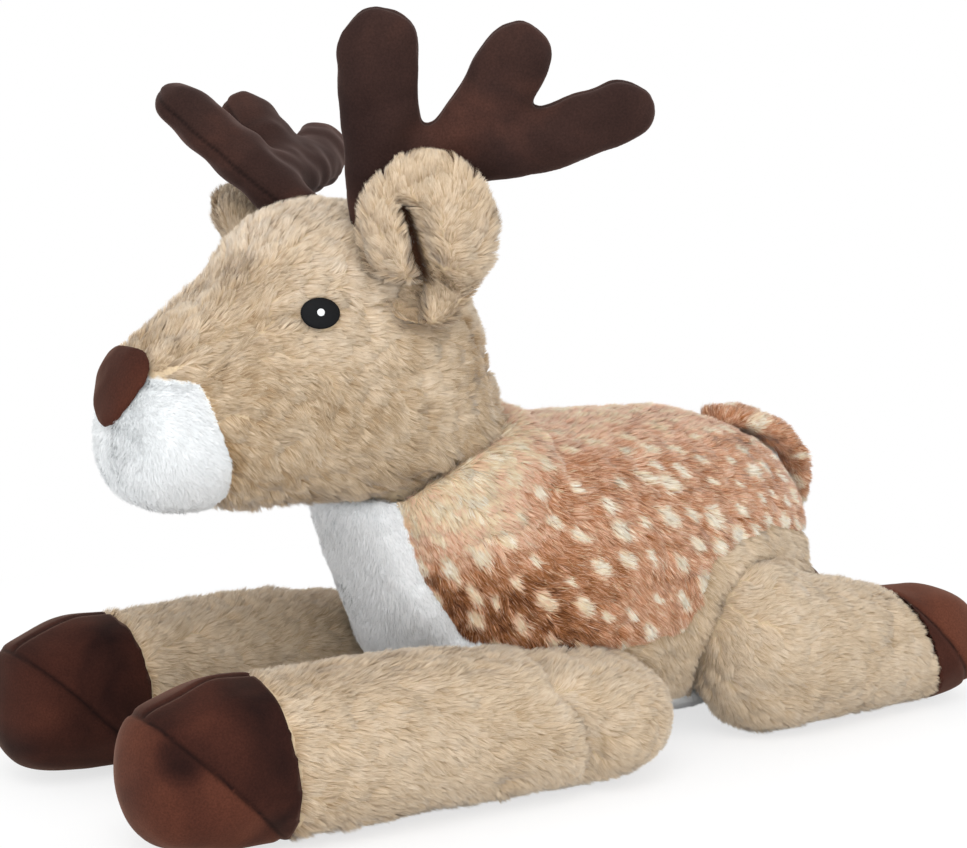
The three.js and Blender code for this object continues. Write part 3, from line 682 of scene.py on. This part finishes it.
def grow_pile(label, cloth, panel, body, *, slot_name, look, length, lean, density, width,
              tuft, pull, tone, swirl=0.5, edge_share=0.5, keep=None, trim=None):
    """Grows the hairs of one panel."""
    root, normal, lie, seam, area = roots_on(cloth, panel, density, keep)
    count = len(root)
    locks = rng.choice(count, size=max(count // HAIRS_IN_A_LOCK, 1), replace=False)
    heads = rng.choice(locks, size=min(max(int(area / tuft ** 2), 1), len(locks)), replace=False)
    lock = gathered(root, root[locks])
    member = gathered(root[locks], root[heads])[lock]

    def waves(far, size, seed):
        return far * wander(root[heads], size, seed)

    drift = waves(*FINE_DRIFT) + waves(*WIDE_DRIFT)
    drift = swirl * drift + rng.normal(0, 0.2 * swirl + TURN_STRAY[0], len(heads))
    turn = drift[member] + rng.normal(0, TURN_STRAY[1], len(locks))[lock]
    turn = turn + rng.normal(0, TURN_STRAY[2], count)
    heading = lie * np.cos(turn)[:, None] + np.cross(normal, lie) * np.sin(turn)[:, None]
    lift = waves(*LIFT) + rng.normal(0, LIFT_STRAY[0], len(heads))
    rise = np.radians(lean) + lift[member] + rng.normal(0, LIFT_STRAY[1], count)
    rise = np.clip(rise, *RISE_LIMITS)
    tall = length * rng.normal(1, TALL_STRAY[0], len(heads))[member]
    tall = tall * rng.normal(1, TALL_STRAY[1], count)
    tall *= edge_share + (1 - edge_share) * np.clip(seam / EDGE_WIDTH, 0, 1)
    if trim:
        tall *= trim(root)

    base = root - normal * ROOT_DEPTH
    tip = base + (normal * np.cos(rise)[:, None] + heading * np.sin(rise)[:, None]) * tall[:, None]
    for chosen, index, grip in ((heads, member, pull), (locks, lock, LOCK_PULL)):
        spread = root - root[chosen][index]
        held = (grip * rng.uniform(*PULL_VARIES, count))[:, None]
        tip += (tip[chosen][index] + spread * ROOM - tip) * held
    along = unit(tip - base)
    twist = rng.normal(0, TWIST, count)
    across = unit(np.cross(along, normal))
    across = across * np.cos(twist)[:, None] + np.cross(along, across) * np.sin(twist)[:, None]
    half = (0.5 * width * rng.uniform(*WIDTH_VARIES, count) / math.sqrt(quick_share))[:, None]
    corners = np.stack([base - across * half, base + across * half, tip], axis=1)
    corners[:, :, 2] = np.maximum(corners[:, :, 2], HAIR_LOWEST)

    rounded = (root - root[heads][member]) / tuft
    shade = unit(normal + ROUNDNESS * pull * rounded + rng.normal(0, SHADE_STRAY, (count, 3)))
    bases = root[locks]
    pale = tone(root, seam, lambda size, seed: wander(bases, size, seed)[lock])
    pale += (rng.normal(0, TONE_STRAY[0], len(heads))[member]
             + rng.normal(0, TONE_STRAY[1], len(locks))[lock])
    pale = np.clip(pale + rng.normal(0, TONE_STRAY[2], count), 0.01, 0.99)
    data = hair_mesh(label, corners, shade, pale)
    data.materials.append(look)
    piece = placed(label, data)
    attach(piece, body)
    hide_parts(panel)
    print(label, count, "hairs on", round(area / MM ** 2), "mm2")


def hair_mesh(label, corners, shade, pale):
    """The mesh of all hairs: three corners each, with their shading normals and UV numbers."""
    count = len(corners)
    data = bpy.data.meshes.new(label)
    data.vertices.add(count * 3)
    data.vertices.foreach_set("co", corners.reshape(-1).astype(np.float32))
    data.loops.add(count * 3)
    data.polygons.add(count)
    data.loops.foreach_set("vertex_index", np.arange(count * 3, dtype=np.int32))
    data.polygons.foreach_set("loop_start", np.arange(0, count * 3, 3, dtype=np.int32))
    data.update(calc_edges=True)
    coords = np.stack([np.repeat(pale, 3), np.tile(ROOT_AND_TIP, count)], axis=1)
    hair_map = data.uv_layers.new(name="OFBake")
    hair_map.data.foreach_set("uv", coords.reshape(-1).astype(np.float32))
    data.shade_smooth()
    data.normals_split_custom_set_from_vertices(np.repeat(shade, 3, axis=0).tolist())
    return data


# %% [markdown]
# ## Tones
# Each panel has its own rule for how pale its hairs are. Plain plush only varies a little, and
# is a shade darker along its seams.

# %% Define the plain tones
SEAM_SHADOW = 2.2 * MM


def plain_tone(middle, spread=0.1, size=55 * MM, seam_dark=0.12):
    """A rule for a tone that varies over a size, and a little more finely."""
    def tone(root, seam, slow):
        dark = seam_dark * np.exp(-(seam / SEAM_SHADOW) ** 2)
        return middle + spread * slow(size, 3) + 0.7 * spread * slow(0.22 * size, 6) - dark
    return tone


leg_tone = plain_tone(0.54)
flank_tone = plain_tone(0.52)
lobe_tone = plain_tone(0.52, 0.09)
cheek_tone = plain_tone(0.44, 0.18, 42 * MM)
muzzle_tone = plain_tone(0.6, 0.05, 40 * MM, 0.05)
white_tone = plain_tone(0.9, 0.06, 45 * MM, 0.05)


def head_tone(root, seam, slow):
    """Tan, and paler over the brow and the crown as painted light from above."""
    return cheek_tone(root, seam, slow) + 0.2 * smooth_step(root[:, 2], 0.3, 0.36)


LONG = dict(length=8.5 * MM, lean=57, width=0.6 * MM, tuft=8 * MM, pull=0.3)
SHORT = dict(length=5 * MM, lean=52, width=0.58 * MM, tuft=6 * MM, pull=0.06)
TAN = dict(slot_name="tan_plush", look=tan_pile, **LONG)
TAN_CLUMPS = {**TAN, "pull": 0.4}
SPOTTED = dict(slot_name="spotted_plush", look=spotted_pile, **LONG)
WHITE_SHORT = dict(slot_name="white_plush", look=white_pile, **SHORT)
WHITE_LONG = {**WHITE_SHORT, **LONG}

# %% [markdown]
# ## The trunk
# The trunk is one stuffed bag: a white bib down the chest, the spotted saddle over the back, a
# tan flank under it on each side, and a white panel underneath.

# %% Find the jaw line
JAW_LINE = [(-215, 200), (-204, 204), (-182, 213), (-160, 222), (-140, 229), (-114, 235),
            (-95, 239), (-80, 243), (-40, 250)]


def above_jaw(place):
    """How far each place lies above the line where the head ends and the neck begins."""
    y, z = np.array(JAW_LINE).T * MM
    return place[:, 2] - np.interp(place[:, 1], y, z)


# %% Stuff the trunk
PILE_INSET = 3.2 * MM
WEAVE = 4.5 * MM
LUMPS = 2.4 * MM
NECK_BACK = -0.03
NECK_HEIGHTS = (0.196, 0.222)
COLLAR_HEIGHTS = (0.17, 0.20)
NECK_SWELL = 7 * MM
BIB_SWELL = 3.5 * MM
GROOVE_FILL = 6 * MM
BARE = 0.02
trunk_panels = ["chest_bib", "saddle", "belly_panel", "flank_left", "flank_right"]
trunk_form = stuffed_form(trunk_panels + ["body_filling", "neck_cup"], WEAVE, 10 * MM,
                          PILE_INSET, LUMPS)
trunk = Cloth(trunk_form, trunk_panels, pinch=1.6 * MM)
rise = BIB_SWELL * smooth_step(trunk.seam(), 0, 14 * MM) * trunk.owned("chest_bib")
neck = trunk.place[:, 1] < NECK_BACK
rise += NECK_SWELL * neck * smooth_step(trunk.place[:, 2], *NECK_HEIGHTS)
leg_nodes = [name for name in frame["nodes"] if "leg_" in name and "sleeve" in name]
rise += GROOVE_FILL * trunk.groove_beside(leg_nodes)
trunk.swell(trunk_form, rise)
trunk.read(trunk_form)
trunk.away_from((0, -0.30, 0.36), 0.35).thin_under()
trunk.thin_inside(leg_nodes, gap=2 * MM)
trunk.cover[above_jaw(trunk.place) > 14 * MM] = BARE
collar = smooth_step(trunk.place[:, 2], *COLLAR_HEIGHTS) * trunk.owned("saddle")
collar *= trunk.place[:, 1] < NECK_BACK
stuffing("trunk_stuffing", trunk_form, trunk, [WHITE_DYE, RUST_DYE, WHITE_DYE] + [TAN_DYE] * 2,
         "trunk", ["body_filling"], TAN_DYE, collar)

# %% [markdown]
# ## The spots
# The saddle's pile is rust, dark at the chest, pinkish on the ridge and yellow at the collar,
# with cream spots, each a soft oval along the lie of the pile. The spots are scattered so that
# no two are too close, and each hair takes its tone from how deep it stands in a spot.

# %% Print the spots
CREAM = 0.97
SPOT_LONG = (0.32, 0.68)
SPOT_WIDE = (0.42, 0.7)
SPOT_EDGE = (-0.12, 0.55)
SPOT_FRAY = 0.15


def spot_plan(cloth, panel, apart, rng):
    """Scatters spot centres on a panel, each at least a given way from the others."""
    places = np.flatnonzero(cloth.owned(panel))
    chosen = []
    for index in rng.permutation(places):
        here = cloth.place[index]
        gap = apart * (0.9 + 0.3 * noise.noise(Vector(here) / (50 * MM)))
        if not chosen or np.linalg.norm(cloth.place[chosen] - here, axis=1).min() > gap:
            chosen.append(index)
    lie = cloth.lie[chosen]
    across = np.cross(cloth.normal[chosen], lie)
    long = apart * rng.uniform(*SPOT_LONG, len(chosen))
    wide = long * rng.uniform(*SPOT_WIDE, len(chosen))
    return tree_over(cloth.place[chosen]), cloth.place[chosen], lie, across, long, wide


def spotted_tone(cloth, panel, apart, seed, zones):
    """A rule that gives a hair near the middle of a spot a cream tone."""
    tree, centre, lie, across, long, wide = spot_plan(cloth, panel, apart,
                                                      np.random.default_rng(seed))
    print(panel, "has", len(centre), "spots")

    def tone(root, seam, slow):
        depth = np.zeros(len(root))
        nearest = [[hit[1] for hit in tree.find_n(place, 2)] for place in root.tolist()]
        for column in np.array(nearest).T:
            off = root - centre[column]
            size = np.hypot(np.sum(off * lie[column], axis=1) / long[column],
                            np.sum(off * across[column], axis=1) / wide[column])
            depth = np.maximum(depth, 1 - size)
        spot = smooth_step(depth + rng.normal(0, SPOT_FRAY, len(root)), *SPOT_EDGE)
        ground, strength = zones(root)
        ground = ground + 0.1 * slow(20 * MM, 5) + 0.18 * slow(6 * MM, 7)
        return ground + (CREAM - ground) * spot * strength
    return tone


def saddle_zones(root):
    """The ground's tone over the saddle, and how clear the spots are."""
    y, z = root[:, 1] / MM, root[:, 2] / MM
    ridge = smooth_step(z, 208, 248)
    collar = smooth_step(-y, 42, 100) * smooth_step(z, 150, 198)
    chest = smooth_step(-y, -30, 75) * (1 - smooth_step(z, 125, 175))
    ground = np.minimum(0.36 + 0.28 * ridge + 0.38 * collar - 0.34 * chest, 0.78)
    return ground, np.clip(1 - 0.55 * ridge - 0.45 * collar - 0.2 * chest, 0.15, 1)


saddle_tone = spotted_tone(trunk, "saddle", 21 * MM, 11, saddle_zones)

# %% Grow the trunk's pile
for side, sign in SIDES:
    grow_pile(f"saddle_pile_{side}", trunk, "saddle", "trunk", density=2.15, swirl=0.45,
              tone=saddle_tone, keep=lambda place: (place[:, 0] >= 0) == (sign > 0), **SPOTTED)
    grow_pile(f"flank_pile_{side}", trunk, f"flank_{side}", "trunk", density=1.8,
              tone=flank_tone, **TAN)
grow_pile("bib_pile", trunk, "chest_bib", "trunk", density=2.4, tone=white_tone, swirl=0.3,
          **WHITE_SHORT)
grow_pile("belly_pile", trunk, "belly_panel", "trunk", density=1.2, tone=white_tone,
          **WHITE_SHORT)

# %% [markdown]
# ## The head
# A tan gusset runs from the nose over the brow to the nape, a tan cheek lies on each side, and
# the muzzle is two pieces of short white pile.

# %% Stuff the head
NECK_AXIS = (0, -107)
NECK_SHARE = 0.14
BROW_SEAM = [(50, -301, 305), (52, -274, 326), (57, -258, 336), (65, -242, 336)]
head_panels = ["head_gusset", "cheek_left", "cheek_right", "muzzle_left", "muzzle_right"]
head_form = stuffed_form(head_panels + ["head_filling", "neck_cup"], WEAVE, 9 * MM, PILE_INSET,
                         LUMPS, 45 * MM)
press(head_form, (0, -190, 405), (0, 0, 7), 60)
press(head_form, (0, -275, 362), (0, 3, -7), 32)
for _, sign in SIDES:
    crease(head_form, mirrored(BROW_SEAM, sign), 8 * MM, 6 * MM)
head = Cloth(head_form, head_panels, pinch=1.8 * MM)
below = smooth_step(-above_jaw(head.place), -2 * MM, 12 * MM)
for vert, share in zip(head_form.verts, below):
    vert.co.x -= (vert.co.x - NECK_AXIS[0] * MM) * NECK_SHARE * float(share)
    vert.co.y -= (vert.co.y - NECK_AXIS[1] * MM) * NECK_SHARE * float(share)
head_form.normal_update()
white_part = head.owned("muzzle_left") | head.owned("muzzle_right")
head.swell(head_form, 2.2 * MM * smooth_step(head.seam(), 0, 10 * MM) * white_part)
head.read(head_form)
head.away_from((0, -0.34, 0.305), 0.15)
head.cover[below > 0.85] = BARE
stuffing("head_stuffing", head_form, head, [TAN_DYE] * 3 + [WHITE_DYE] * 2, "head",
         ["head_filling", "neck_cup"])


EYE_CLEAR = 12.4 * MM
JAW_REACH = 14 * MM
eye_middles = []
for side, _ in SIDES:
    low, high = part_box(f"eye_{side}")
    eye_middles.append(np.array((low + high) / 2))


def off_eyes(root):
    """Whether each root is outside both eyes."""
    away = [np.linalg.norm(root - middle, axis=1) for middle in eye_middles]
    return np.min(away, axis=0) > EYE_CLEAR


def jaw_trim(root):
    """Longer pile along the jaw, which hangs over the joint with the neck."""
    return 1 + 0.5 * np.exp(-(above_jaw(root) / JAW_REACH) ** 2)


for panel in ("head_gusset", "cheek_left", "cheek_right"):
    grow_pile(f"{panel}_pile", head, panel, "head", density=2.3, tone=head_tone,
              swirl=0.75, keep=off_eyes, trim=jaw_trim, **TAN_CLUMPS)
for panel in ("muzzle_left", "muzzle_right"):
    grow_pile(f"{panel}_pile", head, panel, "head", density=3.3, tone=muzzle_tone,
              swirl=0.4, **WHITE_SHORT)

# %% [markdown]
# ## Velvet
# The hooves, the nose and the antlers are velvet, a pile too short to see as hairs. Sheen gives
# its soft rim of light, and slow noise the darker and paler patches that a hand has brushed.

# %% Mix the velvet
SEAM_WIDTH = 2.8 * MM


def velvet_look(label, dark, middle, light, sheen_tint):
    """Velvet in patches, paler or darker by its nap and by painted shade, with its Seam drawn in.
    """
    sheen_values = {"Sheen Weight": 0.2, "Sheen Roughness": 0.35, "Sheen Tint": sheen_tint}
    look, tree, surface = matt_look(label, 0.95, 0.1, sheen_values)
    patches = noise_on(tree, {"Scale": 11, "Detail": 3, "Distortion": 0.5})
    nap = noise_on(tree, {"Scale": 700, "Detail": 2})
    # This attribute holds the velvet's nap, and painted shade on the right-hand hoof soles
    nap_and_shade = add_node(tree, "Attribute", attribute_name="NapAndShade")
    seam = add_node(tree, "Attribute", attribute_name="Seam")
    lay = add_node(tree, "Math", operation="ADD")
    tones = ramp(tree, [(0.22, dark), (0.5, middle), (0.78, light)])
    speck = ramp(tree, [(0.3, shaded(WHITE, 0.8)), (0.7, shaded(WHITE, 1.12))])
    thread = add_node(tree, "Mix", {"B": shaded(dark, 0.5)}, data_type="RGBA")
    grain = add_node(tree, "Bump", {"Strength": 0.3, "Distance": 0.4 * MM})
    wire(tree, [
        (patches, "Fac", lay, 0),
        (nap_and_shade, "Fac", lay, 1),
        (lay, 0, tones, "Fac"),
        (nap, "Fac", speck, "Fac"),
        (multiplied(tree, tones, speck), "Result", thread, "A"),
        (seam, "Fac", thread, "Factor"),
        (thread, "Result", surface, "Base Color"),
        (nap, "Fac", grain, "Height"),
        (grain, "Normal", surface, "Normal")])
    return look


hoof_velvet = velvet_look("hoof velvet", srgb(30, 15, 13), srgb(62, 33, 25), srgb(92, 52, 38),
                          (0.8, 0.5, 0.38, 1))
antler_velvet = velvet_look("antler velvet", srgb(32, 21, 20), srgb(52, 35, 31), srgb(82, 52, 43),
                            (0.7, 0.5, 0.45, 1))


def velvet_cover(label, form, panels, body, look, stands_for, groove,
                 cut_from=(), nap_and_shade_of=None):
    """A stuffed velvet form with its seams drawn in. What is nearest to cut_from is left out,
    and the hole is closed."""
    cloth = Cloth(form, panels + list(cut_from))
    nearest = np.argmin(cloth.reach, axis=1)
    drawn = np.exp(-(cloth.seam(len(panels)) / SEAM_WIDTH) ** 2)
    # Each vertex's nap, and on the right-hand hoof soles painted shade
    nap = nap_and_shade_of(cloth) if nap_and_shade_of else np.zeros(len(drawn))
    seam_layer = form.verts.layers.float.new("Seam")
    nap_and_shade_layer = form.verts.layers.float.new("NapAndShade")
    for vert, depth, lay in zip(form.verts, drawn, nap):
        vert.co -= vert.normal * groove * depth
        vert[seam_layer] = 0.8 * depth ** 3
        vert[nap_and_shade_layer] = lay
    if cut_from:
        gone = [v for v, owner in zip(form.verts, nearest) if owner >= len(panels)]
        bmesh.ops.delete(form, geom=gone, context="VERTS")
        largest_shell(form)
        rim = [e for e in form.edges if e.is_boundary]
        bmesh.ops.holes_fill(form, edges=rim, sides=0)
    finished(label, form, body, look, stands_for)


# %% [markdown]
# ## The legs
# Each leg is a tan sleeve that ends in a velvet hoof of three panels: a sole that wraps up the
# front, and an outer and an inner half that meet in a short centre seam. A fold runs round each
# foreleg where the forearm meets the upper arm.

# %% Make the legs
ARM_FOLD = [(108, -80, 104), (126, -85, 98), (161, -92, 84), (173, -79, 64), (174, -70, 42),
            (164, -64, 14)]
KNEE_FOLD = [(127, 103, 32), (137, 106, 45), (148, 121, 45), (152, 143, 35)]
# How much paler the sole is on the left-hand hooves, from its nap, and how much darker it is
# painted on the right-hand hooves, as painted shade
SOLE_NAP_AND_SHADE = (0.17, -0.14)
SIDE_NAP = -0.1
PATCH_AT, PATCH_SIZE, PATCH_NAP = (144, -367, 78), 17, -0.38
# The fold of each kind of leg, its depth, its step, and the hairs to each square mm
LEG_KINDS = {"foreleg": (ARM_FOLD, 9.5 * MM, 2.5 * MM, 1.75),
             "hind_leg": (KNEE_FOLD, 5 * MM, 0.0, 2.1)}
FOLD_WIDTH = 8 * MM
HOOF_INSET = 4 * MM
flank_skins = ["flank_left", "flank_right", "saddle"]


def hoof_nap_and_shade(cloth):
    """On the left-hand hooves the sole's nap lies the other way, so it looks paler. On the
    right-hand hooves the sole is painted darker, as painted shade. The sole has one dark patch
    where a hand has stroked its nap flat."""
    sole = cloth.owned(cloth.panels[0])
    off = np.linalg.norm(np.abs(cloth.place) / MM - np.abs(PATCH_AT), axis=1)
    paler = SOLE_NAP_AND_SHADE[0 if cloth.place[:, 0].mean() > 0 else 1]
    return paler * sole + SIDE_NAP * ~sole + PATCH_NAP * np.exp(-(off / PATCH_SIZE) ** 4) * sole


for kind, (fold, depth, step, density) in LEG_KINDS.items():
    for side, sign in SIDES:
        leg = f"{kind}_{side}"
        sleeve = f"{leg}_sleeve"
        hoof_panels = [f"{leg}_{part}" for part in ("sole", "hoof_outer", "hoof_inner")]
        every = hoof_panels + [sleeve, f"{leg}_filling"]
        form = stuffed_form(every, WEAVE, 10 * MM, PILE_INSET, LUMPS)
        crease(form, mirrored(fold, sign), depth, FOLD_WIDTH, step)
        cloth = Cloth(form, [sleeve] + hoof_panels)
        rise = -HOOF_INSET * ~cloth.owned(sleeve)
        rise += GROOVE_FILL * cloth.groove_beside(flank_skins)
        cloth.swell(form, rise)
        cloth.read(form)
        cloth.laid((0, 1, -0.3)).thin_under().thin_inside(trunk_panels + ["body_filling"])
        stuffing(f"{leg}_stuffing", form, cloth, [TAN_DYE] * 4, leg, [f"{leg}_filling"])
        grow_pile(f"{leg}_pile", cloth, sleeve, leg, density=density, tone=leg_tone,
                  edge_share=0.95, **TAN)
        hoof = stuffed_form(every, 2.6 * MM, 10 * MM, 0.0, 1.4 * MM, 30 * MM)
        velvet_cover(f"{leg}_hoof", hoof, hoof_panels, leg, hoof_velvet,
                     hoof_panels, 1.8 * MM, [sleeve], hoof_nap_and_shade)

# %% [markdown]
# ## Nose and antlers
# The nose is a small velvet pad. Each antler is two faces of velvet, sewn edge to edge and
# stuffed, so that a seam runs right round it.

# %% Make the nose and the antlers
nose_form = stuffed_form(["nose"], 1.2 * MM, 2.5 * MM, -1.0 * MM, 0.4 * MM, 14 * MM)
nap_and_shade_layer = nose_form.verts.layers.float.new("NapAndShade")
for vert in nose_form.verts:
    vert[nap_and_shade_layer] = SIDE_NAP
finished("nose_pad", nose_form, "head", hoof_velvet, ["nose"])

for side, _ in SIDES:
    faces = [f"antler_{side}_outer_face", f"antler_{side}_inner_face"]
    every = faces + [f"antler_{side}_filling"]
    form = stuffed_form(every, 2.4 * MM, 8 * MM, -0.5 * MM, LUMPS, 20 * MM)
    velvet_cover(f"antler_{side}_cover", form, faces, f"antler_{side}",
                 antler_velvet, every, 1.2 * MM)

# %% [markdown]
# ## Ears
# An ear is a thick pad of plush with a roll at the front, a deep fold behind it, and a wide
# lobe that slopes back out to the rear edge. The pad is made full and round first. Then its
# face is pressed in, steeply at the fold and gently behind it. Deep in the fold the cloth and
# the hairs are painted dark, as painted shade.

# %% Fold the ears
FOLD_DEPTH = 24 * MM
FOLD_STEEP = 7 * MM
FOLD_SLOPE = 26 * MM
ROLL_TIP = 8 * MM
BRUSHED_BACK = 0.9
# The dark brown painted into the cloth deep in an ear's fold, as painted shade
FOLD_SHADE_BROWN = srgb(70, 46, 32)
EAR_SLIT = [(113.6, -184.5, 405.5), (114.4, -178.9, 387.1), (110.8, -170.4, 366.9),
            (108.4, -161.8, 346.5)]
EAR_SOURCE = (0.045, -0.13, 0.30)


class EarFace:
    """Where the fold of an ear lies: its middle, and the directions out, up and back."""

    def __init__(self, side):
        lining = places_of(f"ear_{side}_lining")
        self.middle = lining.mean(0)
        self.up = axes_of(lining)[:, 2]
        self.up *= np.sign(self.up[2])
        out = self.middle - places_of(f"ear_{side}").mean(0)
        out -= self.up * (out @ self.up)
        self.out = out / np.linalg.norm(out)
        self.back = np.cross(self.up, self.out)
        self.back *= np.sign(self.back[1])

    def spread(self, places):
        """The height and the way back of each place on the face."""
        off = places - self.middle
        return off @ self.up, off @ self.back

    def beside_slit(self, places):
        """The height of each place on the face, and how far behind the slit it lies."""
        high, back = self.spread(places)
        return high, back - np.interp(high, *slit)

    def dark(self, places):
        """From 1 deep in the fold, where no light gets in, to 0 outside it."""
        high, behind = self.beside_slit(places)
        deep = (places - self.middle) @ self.out
        inside = smooth_step(behind, -6 * MM, -1 * MM) * (1 - smooth_step(behind, 3 * MM, 12 * MM))
        inside *= 1 - smooth_step(high, slit_high - 4 * MM, slit_high + 5 * MM)
        inside *= smooth_step(deep, -1.1 * FOLD_DEPTH, -0.9 * FOLD_DEPTH)
        return inside * smooth_step(high, slit_low - 4 * MM, slit_low + 12 * MM)

    def fold(self, places):
        """How deep the cloth is pressed in at each place, from 0 to 1."""
        high, behind = self.beside_slit(places)
        steep = smooth_step(behind, -FOLD_STEEP, 0)
        slope = np.clip(1 - behind / FOLD_SLOPE, 0, 1) ** 1.4
        arch = 1 - smooth_step(high, slit_high - 6 * MM, slit_high + 9 * MM)
        foot = smooth_step(high, slit_low - 22 * MM, slit_low + 8 * MM)
        pressed = np.minimum(steep, slope) * arch * foot
        tip = slit_low + ROLL_TIP
        below = (1 - smooth_step(high, tip - 5 * MM, tip + 7 * MM)) * (behind < 0)
        return np.maximum(pressed, below)


slit = np.array(EarFace("left").spread(np.array(EAR_SLIT) * MM))
slit = slit[:, np.argsort(slit[0])]
slit_low, slit_high = slit[0][0], slit[0][-1]

for side, sign in SIDES:
    names = [f"ear_{side}", f"ear_{side}_lining"]
    face = EarFace(side)
    form = stuffed_form(names, 2.5 * MM, 5 * MM, PILE_INSET, hull=True)
    out = Vector(face.out)
    pressed = face.fold(np.array([vert.co for vert in form.verts]))
    for vert, share in zip(form.verts, pressed):
        if vert.normal.dot(out) > 0:
            vert.co -= out * FOLD_DEPTH * float(share) * min(1.0, 2.2 * vert.normal.dot(out))
    smooth(form, 3)
    source = np.array(EAR_SOURCE) * [sign, 1, 1]
    cloth = Cloth(form, names[:1])
    cloth.laid(unit(cloth.place - source) - BRUSHED_BACK * face.out)
    # Deep in the fold the cloth is painted dark brown as painted shade, and fewer hairs grow there
    fold_shade = face.dark(cloth.place) * (cloth.normal @ face.out > 0)
    cloth.cover[fold_shade > 0.6] = 0.15
    stuffing(f"ear_{side}_fold", form, cloth, [TAN_DYE], f"ear_{side}", [names[1]],
             FOLD_SHADE_BROWN, fold_shade)
    # Deeper in the fold the hairs are shorter, and their tone is painted darker as painted shade
    grow_pile(f"ear_{side}_pile", cloth, names[0], f"ear_{side}", density=2.7, swirl=0.8,
              tone=lambda root, seam, slow: lobe_tone(root, seam, slow) - 0.6 * face.dark(root),
              trim=lambda root: 1 - 0.7 * face.dark(root), **TAN_CLUMPS)

# %% [markdown]
# ## Tail
# The tail is a small stuffed leaf that lies on the rump, spotted above and white below.

# %% Make the tail
tail_panels = ["tail_top", "tail_underside"]
form = stuffed_form(tail_panels + ["tail_filling"], 3 * MM, 5 * MM, PILE_INSET)
tail = Cloth(form, tail_panels, favour=13 * MM).away_from((0, 0.18, 0.2), 0.1)
stuffing("tail_stuffing", form, tail, [RUST_DYE, WHITE_DYE], "tail", ["tail_filling"])
tail_tone = spotted_tone(tail, "tail_top", 22 * MM, 5, lambda root: (0.34, 0.95))
grow_pile("tail_top_pile", tail, "tail_top", "tail", density=2.7, tone=tail_tone,
          swirl=0.3, **SPOTTED)
grow_pile("tail_underside_pile", tail, "tail_underside", "tail", density=2.3,
          tone=white_tone, swirl=0.3, **WHITE_LONG)
faces = sum(len(piece.data.polygons) for piece in bpy.data.objects if piece.type == "MESH")
print("The scene has", faces, "faces")

# %% [markdown]
# ## Eyes
# Each eye is a black disc, slightly domed, with a small white dot. A profile is spun round the
# eye's own axis. The pile crowds the lids, so the disc that shows is lower than it is long.

# %% Spin the eyes
def eye_axes(name):
    """Centre, outward axis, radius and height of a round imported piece."""
    places = places_of(name)
    centre = (places.min(0) + places.max(0)) / 2
    axis = axes_of(places)[:, 0]
    axis *= np.sign(axis[0] * centre[0])
    high = (places - centre) @ axis
    flat = (places - centre) - np.outer(high, axis)
    return Vector(centre), Vector(axis), np.linalg.norm(flat, axis=1).max(), high.max()


def spun_disc(profile, radius, high, centre, axis, turns, squat=1.0):
    """A closed disc spun about its axis. Each row of the profile has a share of the radius
    and a rise over the height, in mm. squat makes the disc lower than it is wide."""
    disc = bmesh.new()
    side = axis.orthogonal().normalized()
    line = [disc.verts.new(centre + side * (radius * share) + axis * (high + rise * MM))
            for share, rise in profile]
    edges = [disc.edges.new(pair) for pair in zip(line, line[1:])]
    bmesh.ops.spin(disc, geom=line + edges, cent=centre, axis=axis, dvec=(0, 0, 0),
                   angle=2 * math.pi, steps=turns, use_merge=True, use_duplicate=False)
    bmesh.ops.remove_doubles(disc, verts=disc.verts, dist=0.01 * MM)
    up = Vector((0, 0, 1))
    up -= axis * up.dot(axis)
    up.normalize()
    for vert in disc.verts:
        vert.co -= up * (vert.co - centre).dot(up) * (1 - squat)
    bmesh.ops.recalc_face_normals(disc, faces=disc.faces)
    return disc


def plain_look(label, colour, roughness, gloss):
    """A matt look with fine darker grain."""
    look, tree, surface = matt_look(label, roughness, gloss)
    grain = noise_on(tree, {"Scale": 500})
    tones = ramp(tree, [(0.3, shaded(colour, 0.75)), (0.7, colour)])
    wire(tree, [(grain, "Fac", tones, "Fac"), (tones, "Color", surface, "Base Color")])
    return look


EYE_SQUAT = 0.8
EYE_SHARE = 0.88
EYE_PROUD = 1.2 * MM
DOT_SHARE = 0.85
DOME = [(0, 0), (0.5, -0.4), (0.85, -1.4), (0.97, -2.4), (1, -3.4), (0.92, -5), (0, -6)]
DOT = [(0, 0.35), (0.7, 0.25), (1, -0.1), (0.8, -1.2), (0, -1.2)]
eye_black = plain_look("eye black", srgb(15, 16, 18), 0.7, 0.15)
dot_white = plain_look("dot white", srgb(240, 243, 245), 0.7, 0.2)
for side, _ in SIDES:
    centre, axis, radius, high = eye_axes(f"eye_{side}")
    high += EYE_PROUD
    disc = spun_disc(DOME, radius * EYE_SHARE, high, centre, axis, 48, EYE_SQUAT)
    finished(f"eye_{side}_disc", disc, "head", eye_black, [f"eye_{side}"])
    dot_centre, _, dot_radius, _ = eye_axes(f"eye_glint_{side}")
    off = dot_centre - axis * (dot_centre - centre).dot(axis)
    disc = spun_disc(DOT, dot_radius * DOT_SHARE, high, off, axis, 20)
    finished(f"eye_{side}_dot", disc, "head", dot_white, [f"eye_glint_{side}"])
